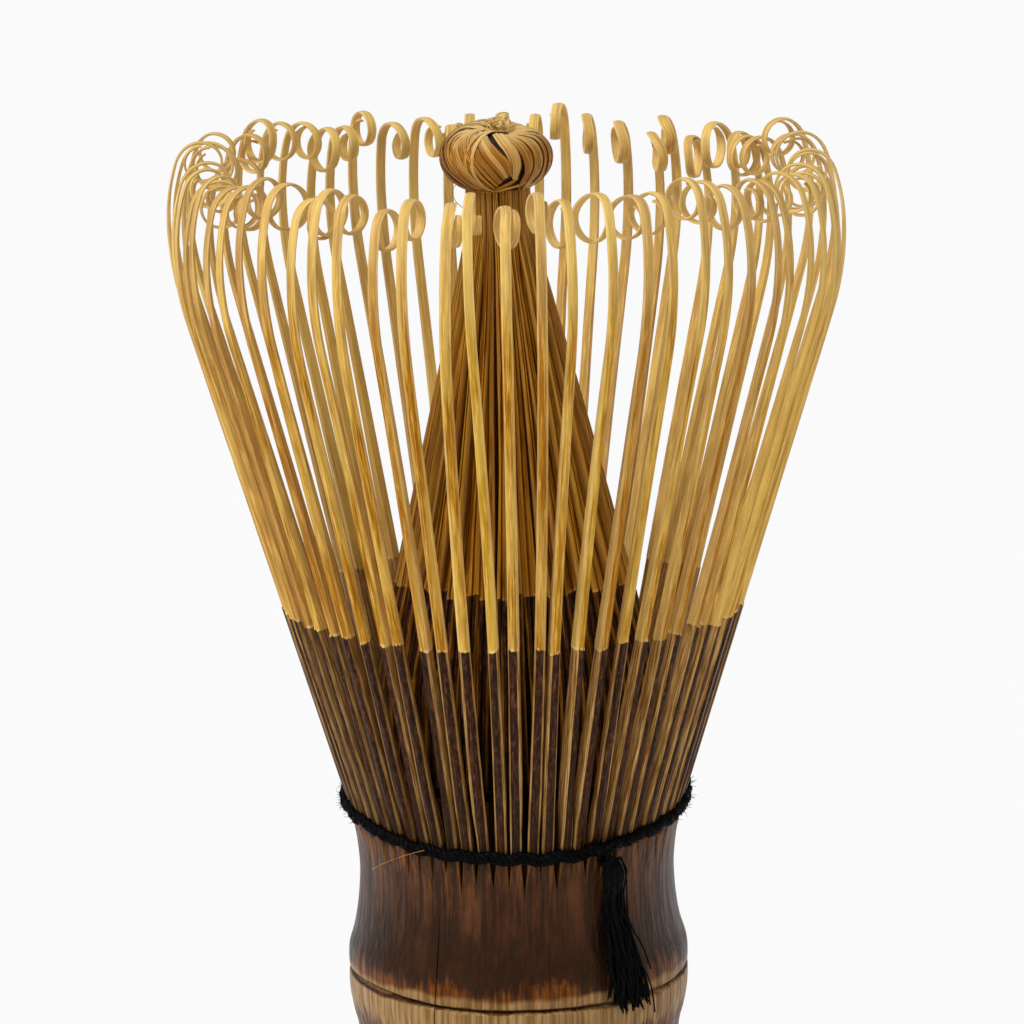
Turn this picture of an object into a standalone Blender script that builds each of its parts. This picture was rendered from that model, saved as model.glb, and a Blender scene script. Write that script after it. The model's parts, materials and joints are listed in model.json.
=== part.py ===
"""Bamboo tea whisk: one culm split into an outer crown of curled tines and an inner
cone of straight tines tied at its tip, with a black lacing thread between the rows.

Metres, +Z up. The origin is the centre of the foot of the handle.
"""

import math

import bmesh
import bpy
from mathutils import Matrix, Vector

# Heights up the whole whisk.
THREAD_HEIGHT = 0.0565
DIAPHRAGM_BOTTOM = 0.0385
DIAPHRAGM_TOP = 0.0425
HANDLE_TOP = 0.0535

# Handle radii.
BORE_RADIUS = 0.0100
CUP_FLOOR_RADIUS = 0.0102
CUP_MOUTH_RADIUS = 0.0114
HANDLE_STEPS = 48
HANDLE_OUTLINE = (  # (radius, height), from the split line down to the foot
    (0.01440, HANDLE_TOP),
    (0.01425, 0.0492),  # waist
    (0.01450, 0.0466),
    (0.01483, 0.0447),
    (0.01535, 0.0429),  # upper ridge of the node
    (0.01530, 0.0414),
    (0.01495, 0.0408),  # groove of the node
    (0.01530, 0.0402),
    (0.01540, 0.0390),  # lower ridge of the node
    (0.01510, 0.0371),
    (0.01460, 0.0352),
    (0.01440, 0.0310),
    (0.01430, 0.0190),
    (0.01420, 0.0008),
    (0.01380, 0.0),
)

# The culm is split into sixteen, and each split into four tines.
SPLITS = 16
TINES_PER_SPLIT = 4
SPLIT_ANGLE = 2 * math.pi / SPLITS
TINE_ANGLE = SPLIT_ANGLE / TINES_PER_SPLIT
OUTER_PHASE = SPLIT_ANGLE / 2 + TINE_ANGLE / 2  # the two rows are half a tine apart
INNER_PHASE = SPLIT_ANGLE / 2
ROOT_HALF_ANGLE = math.radians(10.6)
ROOT_STATIONS = 5

# Outer row: heights from here on are measured from the thread.
HINGE_RADIUS = 0.0146
THREAD_RADIUS = 0.01527
CROWN_RADIUS = 0.0300
OUTER_LEAN = math.radians(17.0)
OUTER_ROOT = (-0.0027, -0.0013)
OUTER_ROOT_INNER = 0.0133
OUTER_ROOT_SKIN = (0.01438, 0.01482)
OUTER_START = -0.0022
SHOULDER_BEND = 0.024
CROWN_BEND = 0.020
CROWN_TURN = math.radians(16.8)
CURL_BEND = 0.0026
CURL_TIGHTENING = 0.00008
CURL_STEP = math.radians(45)
CURL_STEPS = 9
OUTER_WIDTHS = ((0.0, 0.00105), (0.018, 0.00085), (0.080, 0.00080))
OUTER_DEPTHS = ((0.0, 0.00115), (0.018, 0.00095), (0.035, 0.00055), (0.058, 0.00028), (0.080, 0.00022))

# Inner row.
CONE_RADIUS = 0.0126
CONE_ROOT = (-0.0020, -0.0008)
CONE_ROOT_RADII = (0.0116, 0.0127)
CONE_START = -0.0016
CONE_BEND_HEIGHT = 0.01285
CONE_BEND = 0.040
NECK_RADIUS = 0.0029
NECK_HEIGHT = 0.05227
NECK_BEND = 0.008
CONE_TOP = 0.0545
CONE_WIDTHS = ((0.0, 0.00075), (0.018, 0.00066), (0.053, 0.00020), (0.060, 0.00020))
CONE_DEPTHS = ((0.0, 0.00090), (0.020, 0.00060), (0.053, 0.00040), (0.060, 0.00040))
TIP_DRIFT = -0.00095

# The tied tip.
KNOT_RADIUS = 0.0048
KNOT_HALF_HEIGHT = 0.00323
KNOT_HEIGHT = 0.05827

# The lacing.
LACE_SIDES = 6
LACE_STATIONS = 40
LACE_TILT = 0.0016
LACE_BOW = 0.00034
LACE_GAP = 0.0003
OUTER_LACE_DEPTH = 0.00028
OUTER_LACE_HALF_HEIGHT = 0.00055
INNER_LACE_CENTRE = 0.0139
INNER_LACE_RADIUS = 0.0005
INNER_LACE_HEIGHT = 0.0035
LACE_KNOT_AZIMUTH = math.radians(-60.5)
LACE_KNOT_RADII = (0.0008, 0.0013, 0.0011)
LACE_KNOT_DISTANCE = 0.0170
LACE_KNOT_DROP = 0.0016
TAIL_OUTLINE = (  # (drop below the thread, distance from the axis, half width, sideways)
    (0.0031, 0.0157, 0.0006, 0.0),
    (0.0060, 0.0153, 0.0010, 0.0003),
    (0.0095, 0.0154, 0.0014, 0.0009),
    (0.0120, 0.0160, 0.0016, 0.0013),
    (0.0140, 0.0163, 0.0017, 0.0017),
    (0.0166, 0.0163, 0.0018, 0.0020),
)
TAIL_HALF_DEPTH = 0.0005

PALE_BAMBOO = (0.52, 0.27, 0.07)
DARK_BAMBOO = (0.055, 0.030, 0.018)
BLACK_THREAD = (0.006, 0.006, 0.008)


def clear_scene():
    for obj in list(bpy.data.objects):
        bpy.data.objects.remove(obj, do_unlink=True)


def new_collection(name):
    collection = bpy.data.collections.new(name)
    bpy.context.scene.collection.children.link(collection)
    return collection


def material(name, colour, roughness, metallic=0.0):
    mat = bpy.data.materials.new(name)
    mat.use_nodes = True
    shader = mat.node_tree.nodes["Principled BSDF"]
    shader.inputs["Base Color"].default_value = (*colour, 1.0)
    shader.inputs["Roughness"].default_value = roughness
    shader.inputs["Metallic"].default_value = metallic
    return mat


def add_object(name, mesh, collection, mat):
    obj = bpy.data.objects.new(name, mesh)
    collection.objects.link(obj)
    if mat:
        mesh.materials.clear()
        mesh.materials.append(mat)
    return obj


def smooth(mesh, angle=40):
    mesh.shade_smooth()
    mesh.set_sharp_from_angle(angle=math.radians(angle))


def mesh_from(bm, name):
    bmesh.ops.recalc_face_normals(bm, faces=bm.faces)
    mesh = bpy.data.meshes.new(name)
    bm.to_mesh(mesh)
    bm.free()
    return mesh


def add_loft(bm, rings):
    """A closed body through rings of equal count: sections that no primitive makes."""
    rows = [[bm.verts.new(point) for point in ring] for ring in rings]
    count = len(rows[0])
    for near, far in zip(rows, rows[1:]):
        for i in range(count):
            j = (i + 1) % count
            bm.faces.new((near[i], near[j], far[j], far[i]))
    bm.faces.new(rows[0])
    bm.faces.new(reversed(rows[-1]))


def add_ring_loft(bm, rings):
    """A closed loop of sections, the last joined to the first."""
    rows = [[bm.verts.new(point) for point in ring] for ring in rings]
    count = len(rows[0])
    for k, near in enumerate(rows):
        far = rows[(k + 1) % len(rows)]
        for i in range(count):
            j = (i + 1) % count
            bm.faces.new((near[i], near[j], far[j], far[i]))


def ramp(stops, at):
    """The value at a distance, on straight lines between the stops."""
    for (a, low), (b, high) in zip(stops, stops[1:]):
        if at <= b:
            return low + (high - low) * (at - a) / (b - a)
    return stops[-1][1]


def strip_path(start, heading, pieces):
    """Stations (radius, height, heading, distance) along a strip in its own radial plane.

    Each piece is (length, turn, stations). Heading 0 is straight up, and plus leans out.
    """
    radius, height = start
    travelled = 0.0
    path = [(radius, height, heading, travelled)]
    for length, turn, stations in pieces:
        step, swing = length / stations, turn / stations
        chord = step if not swing else 2 * step / abs(swing) * math.sin(abs(swing) / 2)
        for _ in range(stations):
            middle = heading + swing / 2
            radius += chord * math.sin(middle)
            height += chord * math.cos(middle)
            heading += swing
            travelled += step
            path.append((radius, height, heading, travelled))
    return path


def outer_path():
    """One outer tine: a straight lean, the shoulder, the crown, then the curl."""
    start_radius = THREAD_RADIUS + OUTER_START * math.tan(OUTER_LEAN)
    shoulder_start = CROWN_RADIUS - SHOULDER_BEND * (1 - math.cos(OUTER_LEAN))
    straight = (shoulder_start - start_radius) / math.sin(OUTER_LEAN)
    pieces = [
        (straight, 0.0, 2),
        (SHOULDER_BEND * OUTER_LEAN, -OUTER_LEAN, 3),
        (CROWN_BEND * CROWN_TURN, -CROWN_TURN, 2),
    ]
    for k in range(CURL_STEPS):
        bend = CURL_BEND - k * CURL_TIGHTENING
        pieces.append((bend * CURL_STEP, -CURL_STEP, 1))
    return strip_path((start_radius, OUTER_START), OUTER_LEAN, pieces)


def inner_path():
    """One inner tine: upright at the root, then leaning in to the neck."""
    run = NECK_HEIGHT - CONE_BEND_HEIGHT
    lean = math.atan2(CONE_RADIUS - NECK_RADIUS, run)
    cone_tangent = CONE_BEND * math.tan(lean / 2)
    neck_tangent = NECK_BEND * math.tan(lean / 2)
    slope = run / math.cos(lean) - cone_tangent - neck_tangent
    pieces = [
        (CONE_BEND_HEIGHT - cone_tangent - CONE_START, 0.0, 1),
        (CONE_BEND * lean, -lean, 2),
        (slope, 0.0, 1),
        (NECK_BEND * lean, lean, 1),
        (CONE_TOP - NECK_HEIGHT - neck_tangent, 0.0, 1),
    ]
    return strip_path((CONE_RADIUS, CONE_START), 0.0, pieces)


def tine_rings(path, widths, depths, azimuth, place):
    """Rectangular sections: the skin runs on the path and the depth lies inside it."""
    turn = Matrix.Rotation(azimuth, 3, "Z")
    rings = []
    for radius, height, heading, travelled in path:
        half = ramp(widths, travelled) / 2
        depth = ramp(depths, travelled)
        inside = (radius - depth * math.cos(heading), height + depth * math.sin(heading))
        corners = (
            Vector((radius, -half, height)),
            Vector((radius, half, height)),
            Vector((inside[0], half, inside[1])),
            Vector((inside[0], -half, inside[1])),
        )
        rings.append([place(turn @ corner) for corner in corners])
    return rings


def root_rings(radii_low, radii_high, heights, azimuth, place):
    """Sections round the axis of the block that still joins one split's tines."""
    rings = []
    for k in range(ROOT_STATIONS):
        share = 2 * k / (ROOT_STATIONS - 1) - 1
        turn = Matrix.Rotation(azimuth + share * ROOT_HALF_ANGLE, 3, "Z")
        corners = (
            Vector((radii_low[0], 0, heights[0])),
            Vector((radii_low[1], 0, heights[0])),
            Vector((radii_high[1], 0, heights[1])),
            Vector((radii_high[0], 0, heights[1])),
        )
        rings.append([place(turn @ corner) for corner in corners])
    return rings


def joined(root, tines, name, helpers):
    """The root block and the tines in it, as one body."""
    block = add_object(name + "_root", root, helpers, None)
    comb = add_object(name + "_tines", tines, helpers, None)
    union = block.modifiers.new("join_tines", "BOOLEAN")
    union.operation = "UNION"
    union.solver = "EXACT"
    union.object = comb
    bpy.context.view_layer.update()
    graph = bpy.context.evaluated_depsgraph_get()
    mesh = bpy.data.meshes.new_from_object(block.evaluated_get(graph))
    mesh.name = name
    bpy.data.objects.remove(block)
    bpy.data.objects.remove(comb)
    return mesh


def split_mesh(name, path, widths, depths, root, azimuth, place, helpers):
    tines = bmesh.new()
    for k in range(TINES_PER_SPLIT):
        angle = azimuth + (k - (TINES_PER_SPLIT - 1) / 2) * TINE_ANGLE
        add_loft(tines, tine_rings(path, widths, depths, angle, place))
    block = bmesh.new()
    add_loft(block, root_rings(*root, azimuth, place))
    return joined(mesh_from(block, name), mesh_from(tines, name), name, helpers)


def build_outer_splits(parts, helpers, mat):
    """Sixteen equal combs, each with its origin on its own flex line."""
    root = (
        (OUTER_ROOT_INNER, OUTER_ROOT_SKIN[0]),
        (OUTER_ROOT_INNER, OUTER_ROOT_SKIN[1]),
        OUTER_ROOT,
    )

    def to_hinge(point):
        return point - Vector((HINGE_RADIUS, 0, 0))

    mesh = split_mesh(
        "outer_split", outer_path(), OUTER_WIDTHS, OUTER_DEPTHS, root, 0.0, to_hinge, helpers
    )
    smooth(mesh)
    for k in range(SPLITS):
        azimuth = k * SPLIT_ANGLE + OUTER_PHASE
        obj = add_object(f"outer_split_{k + 1:02d}", mesh, parts, mat)
        obj.location = Matrix.Rotation(azimuth, 3, "Z") @ Vector((HINGE_RADIUS, 0, THREAD_HEIGHT))
        obj.rotation_euler.z = azimuth


def build_inner_splits(parts, helpers, mat, pivot):
    """Sixteen combs that lean together, drifting a little to one side at the tip."""
    root = (CONE_ROOT_RADII, CONE_ROOT_RADII, CONE_ROOT)
    path = inner_path()
    pivot_height = pivot.location.z - THREAD_HEIGHT

    def drifted(point):
        share = max(0.0, point.z / KNOT_HEIGHT)
        return point + Vector((TIP_DRIFT * share * share, 0, -pivot_height))

    for k in range(SPLITS):
        azimuth = k * SPLIT_ANGLE + INNER_PHASE
        name = f"inner_split_{k + 1:02d}"
        mesh = split_mesh(name, path, CONE_WIDTHS, CONE_DEPTHS, root, azimuth, drifted, helpers)
        smooth(mesh)
        obj = add_object(name, mesh, parts, mat)
        obj.parent = pivot


def build_handle(parts, mat):
    """The culm below the splits, turned: a cup above the diaphragm and a bore below."""
    profile = [(0.0, DIAPHRAGM_TOP), (CUP_FLOOR_RADIUS, DIAPHRAGM_TOP), (CUP_MOUTH_RADIUS, HANDLE_TOP)]
    profile += HANDLE_OUTLINE
    profile += [(BORE_RADIUS, 0.0), (BORE_RADIUS, DIAPHRAGM_BOTTOM), (0.0, DIAPHRAGM_BOTTOM)]
    bm = bmesh.new()
    verts = [bm.verts.new((radius, 0, height)) for radius, height in profile]
    for pair in zip(verts, verts[1:]):
        bm.edges.new(pair)
    mesh = bpy.data.meshes.new("handle")
    bm.to_mesh(mesh)
    bm.free()
    obj = add_object("handle", mesh, parts, mat)
    screw = obj.modifiers.new("turned", "SCREW")
    screw.axis = "Z"
    screw.steps = HANDLE_STEPS
    screw.render_steps = HANDLE_STEPS
    screw.use_merge_vertices = True
    screw.merge_threshold = 0.00001
    screw.use_smooth_shade = True


def build_tip_knot(parts, mat, pivot):
    bm = bmesh.new()
    bmesh.ops.create_uvsphere(bm, u_segments=24, v_segments=12, radius=1.0)
    bmesh.ops.scale(bm, vec=(KNOT_RADIUS, KNOT_RADIUS, KNOT_HALF_HEIGHT), verts=bm.verts)
    mesh = mesh_from(bm, "tip_knot")
    smooth(mesh)
    place = Vector((TIP_DRIFT, 0, THREAD_HEIGHT + KNOT_HEIGHT)) - pivot.location
    mesh.transform(Matrix.Translation(place))
    obj = add_object("tip_knot", mesh, parts, mat)
    obj.parent = pivot


def lace_ring(name, centre_at, half_depth, half_height, parts, mat):
    """A thread laid round the axis, with its centre radius and height set by azimuth."""
    rings = []
    for k in range(LACE_STATIONS):
        azimuth = 2 * math.pi * k / LACE_STATIONS
        radius, height = centre_at(azimuth)
        turn = Matrix.Rotation(azimuth, 3, "Z")
        ring = []
        for side in range(LACE_SIDES):
            angle = 2 * math.pi * side / LACE_SIDES
            across = radius + half_depth * math.cos(angle)
            ring.append(turn @ Vector((across, 0, height + half_height * math.sin(angle))))
        rings.append(ring)
    bm = bmesh.new()
    add_ring_loft(bm, rings)
    mesh = mesh_from(bm, name)
    smooth(mesh)
    add_object(name, mesh, parts, mat)


def outer_lace_centre(azimuth):
    """The outer run lies on the skins of the tines and dips at the front (-Y)."""
    rise = LACE_TILT * math.sin(azimuth) + LACE_BOW * math.cos(2 * azimuth)
    skin = THREAD_RADIUS + (rise + OUTER_LACE_HALF_HEIGHT) * math.tan(OUTER_LEAN)
    return skin + LACE_GAP + OUTER_LACE_DEPTH, THREAD_HEIGHT + rise


def inner_lace_centre(azimuth):
    return INNER_LACE_CENTRE, THREAD_HEIGHT + INNER_LACE_HEIGHT


def build_lace_knot(parts, mat):
    bm = bmesh.new()
    bmesh.ops.create_uvsphere(bm, u_segments=12, v_segments=8, radius=1.0)
    bmesh.ops.scale(bm, vec=LACE_KNOT_RADII, verts=bm.verts)
    mesh = mesh_from(bm, "lacing_knot")
    smooth(mesh)
    obj = add_object("lacing_knot", mesh, parts, mat)
    height = THREAD_HEIGHT - LACE_KNOT_DROP
    out = Vector((LACE_KNOT_DISTANCE, 0, height))
    obj.location = Matrix.Rotation(LACE_KNOT_AZIMUTH, 3, "Z") @ out
    obj.rotation_euler.z = LACE_KNOT_AZIMUTH


def build_lace_tail(parts, mat):
    """The cut ends of the thread, a flat tassel that hangs over the node."""
    rings = []
    for drop, distance, half_width, sideways in TAIL_OUTLINE:
        height = THREAD_HEIGHT - drop
        ring = []
        for side in range(LACE_SIDES):
            angle = 2 * math.pi * side / LACE_SIDES
            out = distance + TAIL_HALF_DEPTH * math.cos(angle)
            ring.append(Vector((out, sideways + half_width * math.sin(angle), height)))
        rings.append(ring)
    bm = bmesh.new()
    add_loft(bm, rings)
    mesh = mesh_from(bm, "lacing_tail")
    smooth(mesh)
    obj = add_object("lacing_tail", mesh, parts, mat)
    obj.rotation_euler.z = LACE_KNOT_AZIMUTH


def build_pivot(parts):
    """The inner cone sways about this point, at the middle of its roots."""
    pivot = bpy.data.objects.new("cone_pivot", None)
    parts.objects.link(pivot)
    pivot.location = (0, 0, THREAD_HEIGHT + CONE_ROOT[0])
    return pivot


def build_whisk():
    clear_scene()
    parts = new_collection("bamboo_tea_whisk")
    helpers = new_collection("join_helpers")
    pale = material("golden_bamboo", PALE_BAMBOO, 0.45)
    dark = material("smoked_bamboo", DARK_BAMBOO, 0.4)
    black = material("black_thread", BLACK_THREAD, 0.9)
    pivot = build_pivot(parts)
    build_handle(parts, dark)
    build_outer_splits(parts, helpers, pale)
    build_inner_splits(parts, helpers, pale, pivot)
    build_tip_knot(parts, pale, pivot)
    lace_ring(
        "lacing_outer_run", outer_lace_centre, OUTER_LACE_DEPTH, OUTER_LACE_HALF_HEIGHT, parts, black
    )
    lace_ring(
        "lacing_inner_run", inner_lace_centre, INNER_LACE_RADIUS, INNER_LACE_RADIUS, parts, black
    )
    build_lace_knot(parts, black)
    build_lace_tail(parts, black)


build_whisk()
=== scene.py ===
import json
import math
import random

import bmesh
import bpy
import numpy as np
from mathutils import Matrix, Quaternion, Vector


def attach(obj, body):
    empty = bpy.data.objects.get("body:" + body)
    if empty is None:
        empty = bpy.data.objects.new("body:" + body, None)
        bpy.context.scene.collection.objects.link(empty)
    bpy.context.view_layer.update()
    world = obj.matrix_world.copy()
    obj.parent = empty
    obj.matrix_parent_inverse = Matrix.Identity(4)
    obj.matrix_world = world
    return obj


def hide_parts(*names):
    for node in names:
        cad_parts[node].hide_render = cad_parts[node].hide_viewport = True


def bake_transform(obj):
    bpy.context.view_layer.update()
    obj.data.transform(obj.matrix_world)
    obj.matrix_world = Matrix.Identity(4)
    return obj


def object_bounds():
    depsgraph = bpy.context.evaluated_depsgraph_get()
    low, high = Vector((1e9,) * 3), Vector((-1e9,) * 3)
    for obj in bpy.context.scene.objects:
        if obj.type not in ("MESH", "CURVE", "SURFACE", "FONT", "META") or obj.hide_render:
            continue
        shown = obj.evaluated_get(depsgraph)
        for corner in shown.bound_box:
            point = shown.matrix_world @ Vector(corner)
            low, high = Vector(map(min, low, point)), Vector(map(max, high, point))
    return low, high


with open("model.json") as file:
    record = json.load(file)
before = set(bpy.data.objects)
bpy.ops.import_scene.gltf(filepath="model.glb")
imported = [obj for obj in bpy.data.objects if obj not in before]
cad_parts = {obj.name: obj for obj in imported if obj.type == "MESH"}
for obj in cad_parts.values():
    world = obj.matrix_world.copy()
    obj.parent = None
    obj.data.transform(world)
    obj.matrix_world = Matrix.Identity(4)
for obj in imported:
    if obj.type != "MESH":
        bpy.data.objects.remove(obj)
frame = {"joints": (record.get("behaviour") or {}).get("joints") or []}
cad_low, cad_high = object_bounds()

# Shapes are worked out in millimetres, with heights measured from the thread. They are
# turned into metres from the foot when their meshes are made.
MM = 0.001
JOINTS = {joint["name"]: joint for joint in frame["joints"]}
THREAD_HEIGHT = JOINTS["outer_flex_01"]["pos_m"][2]
FOOT = -THREAD_HEIGHT / MM
CROWN_RADIUS = (cad_high.x - cad_low.x) / 2 / MM

# The culm: (height, radius) of the skin from the foot to above the thread.
SKIN_STOPS = (
    (FOOT - 1.0, 14.10),
    (FOOT, 14.18),
    (-37.5, 14.30),
    (-25.5, 14.40),
    (-21.3, 14.62),
    (-19.4, 15.08),
    (-17.5, 15.40),
    (-15.6, 15.42),
    (-13.7, 15.38),
    (-11.8, 14.84),
    (-9.9, 14.50),
    (-8.0, 14.31),
    (-6.1, 14.25),
    (-4.2, 14.38),
    (-2.2, 14.68),
    (0.0, 15.27),
    (6.0, 17.10),
)
GROOVE_HEIGHT = -15.7
GROOVE_DEPTH = 0.42
GROOVE_HALF_WIDTH = 0.17
RIM_HEIGHT = -3.0
CUP_MOUTH = 11.4
CUP_FLOOR = 10.2
SLITS_FROM = -6.8
SLIT_DEPTH = 1.2
BEVEL_DROP = 0.34
BEVEL_SHARE = 0.16
DIAPHRAGM_TOP = -14.0
DIAPHRAGM_BOTTOM = -18.0
BORE = 10.0
TAB_ROWS = (0.2, 0.4, 0.6, 0.8, 1.0)  # shares of the way from the rim to the thread
TAB_COLUMNS = (0.0, 0.17, 0.5, 0.83, 1.0)  # shares of the way across a tine
CRACKS = (  # (azimuth, top height, bottom height, half width, depth)
    (math.radians(-119.0), -7.2, FOOT + 0.6, 0.055, 0.55),
    (math.radians(-41.5), -15.9, FOOT + 9.0, 0.075, 0.50),
    (math.radians(68.0), -17.0, FOOT + 4.0, 0.045, 0.35),
)

# The tines.
SPLITS = 16
TINES_PER_SPLIT = 4
TINES = SPLITS * TINES_PER_SPLIT
PITCH = 2 * math.pi / TINES
LEAN = math.radians(17.0)
THREAD_RADIUS = 15.27
SHOULDER_BEND = 24.6
CROWN_BEND = 17.0
CROWN_TURN = math.radians(18.0)
TAB_WIDTH = 1.02
OUTER_WIDTHS = ((-3, 1.10), (4, 1.12), (18, 0.98), (30, 0.98), (48, 0.93), (58, 0.92), (80, 0.88))
OUTER_DEPTHS = ((-3, 1.30), (10, 1.25), (18, 1.10), (30, 0.84), (48, 0.52), (58, 0.28), (80, 0.19))
SKIN_END = 18.1
SKIN_STEP = 0.09
CURL_STEPS = 40
CURL_LEANS = (  # (azimuth, degrees that the curls lean over there, reach in degrees)
    (math.radians(-68.0), 34, 26),
    (math.radians(56.0), 30, 28),
    (math.radians(-118.0), -18, 20),
)
# Around this azimuth the tines' cut flanks get painted shade, as they face away from the key light.
SHADED_FLANK_SIDE = math.radians(-140.0)
SHADED_FLANK_REACH = 50

CONE_RADIUS = 12.6
CONE_START = -2.35
CONE_BEND_HEIGHT = 12.85
CONE_BEND = 40.0
NECK_RADIUS = 2.9
NECK_HEIGHT = 52.27
NECK_BEND = 8.0
CONE_TOP = 55.6
CONE_SKIN_END = 20.0
CONE_WIDTHS = ((-3, 1.08), (20, 1.00), (28, 0.70), (36, 0.50), (50, 0.33), (60, 0.30))
CONE_DEPTHS = ((-3, 0.95), (20, 0.95), (36, 0.80), (53, 0.45), (60, 0.36))
TIP_DRIFT = -0.95
SECOND_ROW_STEP = 0.55

# The tied tip.
KNOT_CENTRE = (TIP_DRIFT, 0.0, 58.27)
KNOT_RADIUS = 4.72
KNOT_HALF_HEIGHT = 3.2
KNOT_RADII = np.array((KNOT_RADIUS, KNOT_RADIUS, KNOT_HALF_HEIGHT))
STRIP_WIDTH = 0.56
STRIP_THICKNESS = 0.17

# The thread.
LACE_TILT = 1.6
LACE_BOW = 0.34
YARN_RADIUS = 0.31
YARN_TWIST_RADIUS = 0.30
YARN_FLATNESS = 0.55
YARN_SINK = 0.12
YARN_PITCH = 1.8
INNER_RUN_RADIUS = 13.9
INNER_RUN_HEIGHT = 3.5
TIE_AZIMUTH = math.radians(-60.5)
TIE_DISTANCE = 15.75
TIE_HEIGHT = -1.6
PLIES = 3
STITCH_RADIUS = 0.19
HAIRS = 1100
TASSEL_STRANDS = 48
TASSEL_LENGTHS = (12.6, 14.4)
TASSEL_LEAN = 0.14

# The studio, in metres and degrees.
SKY_STRENGTH = 0.44
FLOOR_RADIUS = 9.0
VIEW_LENS = 184.7
VIEW_DISTANCE = 0.460
VIEW_RISE = 0.1237
VIEW_DOWN = 11.97
VIEW_ROLL = -0.8

UP = np.array((0.0, 0.0, 1.0))


def smoothstep(low, high, x):
    t = np.clip((np.asarray(x, float) - low) / (high - low), 0, 1)
    return t * t * (3 - 2 * t)


def ramp(stops, at):
    xs, ys = zip(*stops)
    return np.interp(at, xs, ys)


def flowing(stops, steps=12):
    """The stops joined by a smooth curve that goes through each of them."""
    p = np.array([stops[0], *stops, stops[-1]], float)
    found = []
    for a, b, c, d in zip(p, p[1:], p[2:], p[3:]):
        for k in range(steps):
            t = k / steps
            bent = 2 * b + (c - a) * t + (2 * a - 5 * b + 4 * c - d) * t**2
            found.append(0.5 * (bent + (3 * b - a - 3 * c + d) * t**3))
    found.append(p[-1])
    return np.array(found)


SKIN_CURVE = flowing(SKIN_STOPS)


def skin_radius(height):
    """The culm's radius below the thread, and the leaning outer row's above it."""
    height = np.asarray(height, float)
    low = np.interp(height, SKIN_CURVE[:, 0], SKIN_CURVE[:, 1])
    return np.where(height > 0, THREAD_RADIUS + height * math.tan(LEAN), low)


def lace_rise(azimuth):
    """How far above or below level the thread runs at an azimuth."""
    return LACE_TILT * np.sin(azimuth) + LACE_BOW * np.cos(2 * azimuth)


def unit(v):
    return v / np.linalg.norm(v, axis=-1, keepdims=True)


def radial(azimuth):
    return np.array((math.cos(azimuth), math.sin(azimuth), 0.0))


def tangent(azimuth):
    return np.array((-math.sin(azimuth), math.cos(azimuth), 0.0))


def turn_about(angle):
    """The angle brought between half a turn back and half a turn on."""
    return math.remainder(angle, 2 * math.pi)


def distances(line):
    """How far along a line each of its points is."""
    steps = np.linalg.norm(np.diff(line, axis=0), axis=1)
    return np.concatenate(([0], np.cumsum(steps)))


class Shape:
    """Points and faces gathered in millimetres, with the values that the materials read."""

    def __init__(self):
        self.points, self.faces, self.cut = [], [], []
        self.grain, self.rise, self.tint = [], [], []

    def add(self, points, faces, cut, grain, rise, tint):
        first = len(self.points)
        self.points.extend(points)
        self.faces.extend([[first + i for i in face] for face in faces])
        self.cut.extend(cut)
        self.grain.extend(grain)
        self.rise.extend(rise)
        self.tint.extend([tint] * len(points))


def place(name, data):
    """Puts a mesh, lamp or camera into the scene."""
    obj = bpy.data.objects.new(name, data)
    bpy.context.scene.collection.objects.link(obj)
    return obj


def finish_mesh(mesh, mat, sharp):
    """Gives a mesh its material, and smooth faces with edges where they turn sharply."""
    mesh.materials.append(mat)
    mesh.shade_smooth()
    mesh.set_sharp_from_angle(angle=math.radians(sharp))


def make_piece(name, shape, mat, sharp, body=None):
    """A gathered shape as one object. A piece without a body is left unattached."""
    points = np.array(shape.points, float) * MM
    points[:, 2] += THREAD_HEIGHT
    mesh = bpy.data.meshes.new(name)
    mesh.from_pydata(points.tolist(), [], shape.faces)
    for label, kind, domain, field, values in (
        ("grain", "FLOAT_VECTOR", "POINT", "vector", shape.grain),
        ("rise", "FLOAT", "POINT", "value", shape.rise),
        ("tint", "FLOAT", "POINT", "value", shape.tint),
        ("cut", "FLOAT", "FACE", "value", shape.cut),
    ):
        layer = mesh.attributes.new(label, kind, domain)
        layer.data.foreach_set(field, np.array(values, np.float32).ravel())
    bm = bmesh.new()
    bm.from_mesh(mesh)
    bmesh.ops.recalc_face_normals(bm, faces=bm.faces)
    bm.to_mesh(mesh)
    bm.free()
    finish_mesh(mesh, mat, sharp)
    obj = place(name, mesh)
    if body:
        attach(obj, body)
    return obj


def sweep(shape, spine, normals, across, inward, cut_sides, rise, tint, seed, closed=False):
    """A strip of any section along a spine.

    The columns of across and inward are the section's corners.
    """
    spine = np.asarray(spine, float)
    count, corners = across.shape
    if closed:
        along = unit(np.roll(spine, -1, 0) - np.roll(spine, 1, 0))
    else:
        along = unit(np.gradient(spine, axis=0))
    normals = unit(normals - (normals * along).sum(1, keepdims=True) * along)
    side = np.cross(along, normals)
    points = spine[:, None] + side[:, None] * across[:, :, None]
    points = points - normals[:, None] * inward[:, :, None]
    travelled = np.repeat(distances(spine)[:, None], corners, 1)
    grain = np.stack((across + 7.31 * seed, inward + 3.17 * seed, travelled + 11.0 * seed), -1)
    faces, cut = [], []
    for i in range(count if closed else count - 1):
        for j in range(corners):
            near, far = i * corners, (i + 1) % count * corners
            k = (j + 1) % corners
            faces.append((near + j, near + k, far + k, far + j))
            cut.append(cut_sides[j])
    if not closed:
        last = (count - 1) * corners
        faces += [tuple(range(corners)), tuple(last + j for j in range(corners))]
        cut += [1.0, 1.0]
    rise = np.broadcast_to(np.asarray(rise, float), across.shape)
    points = points.reshape(-1, 3).tolist()
    grain = grain.reshape(-1, 3).tolist()
    shape.add(points, faces, cut, grain, rise.ravel().tolist(), tint)


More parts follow.
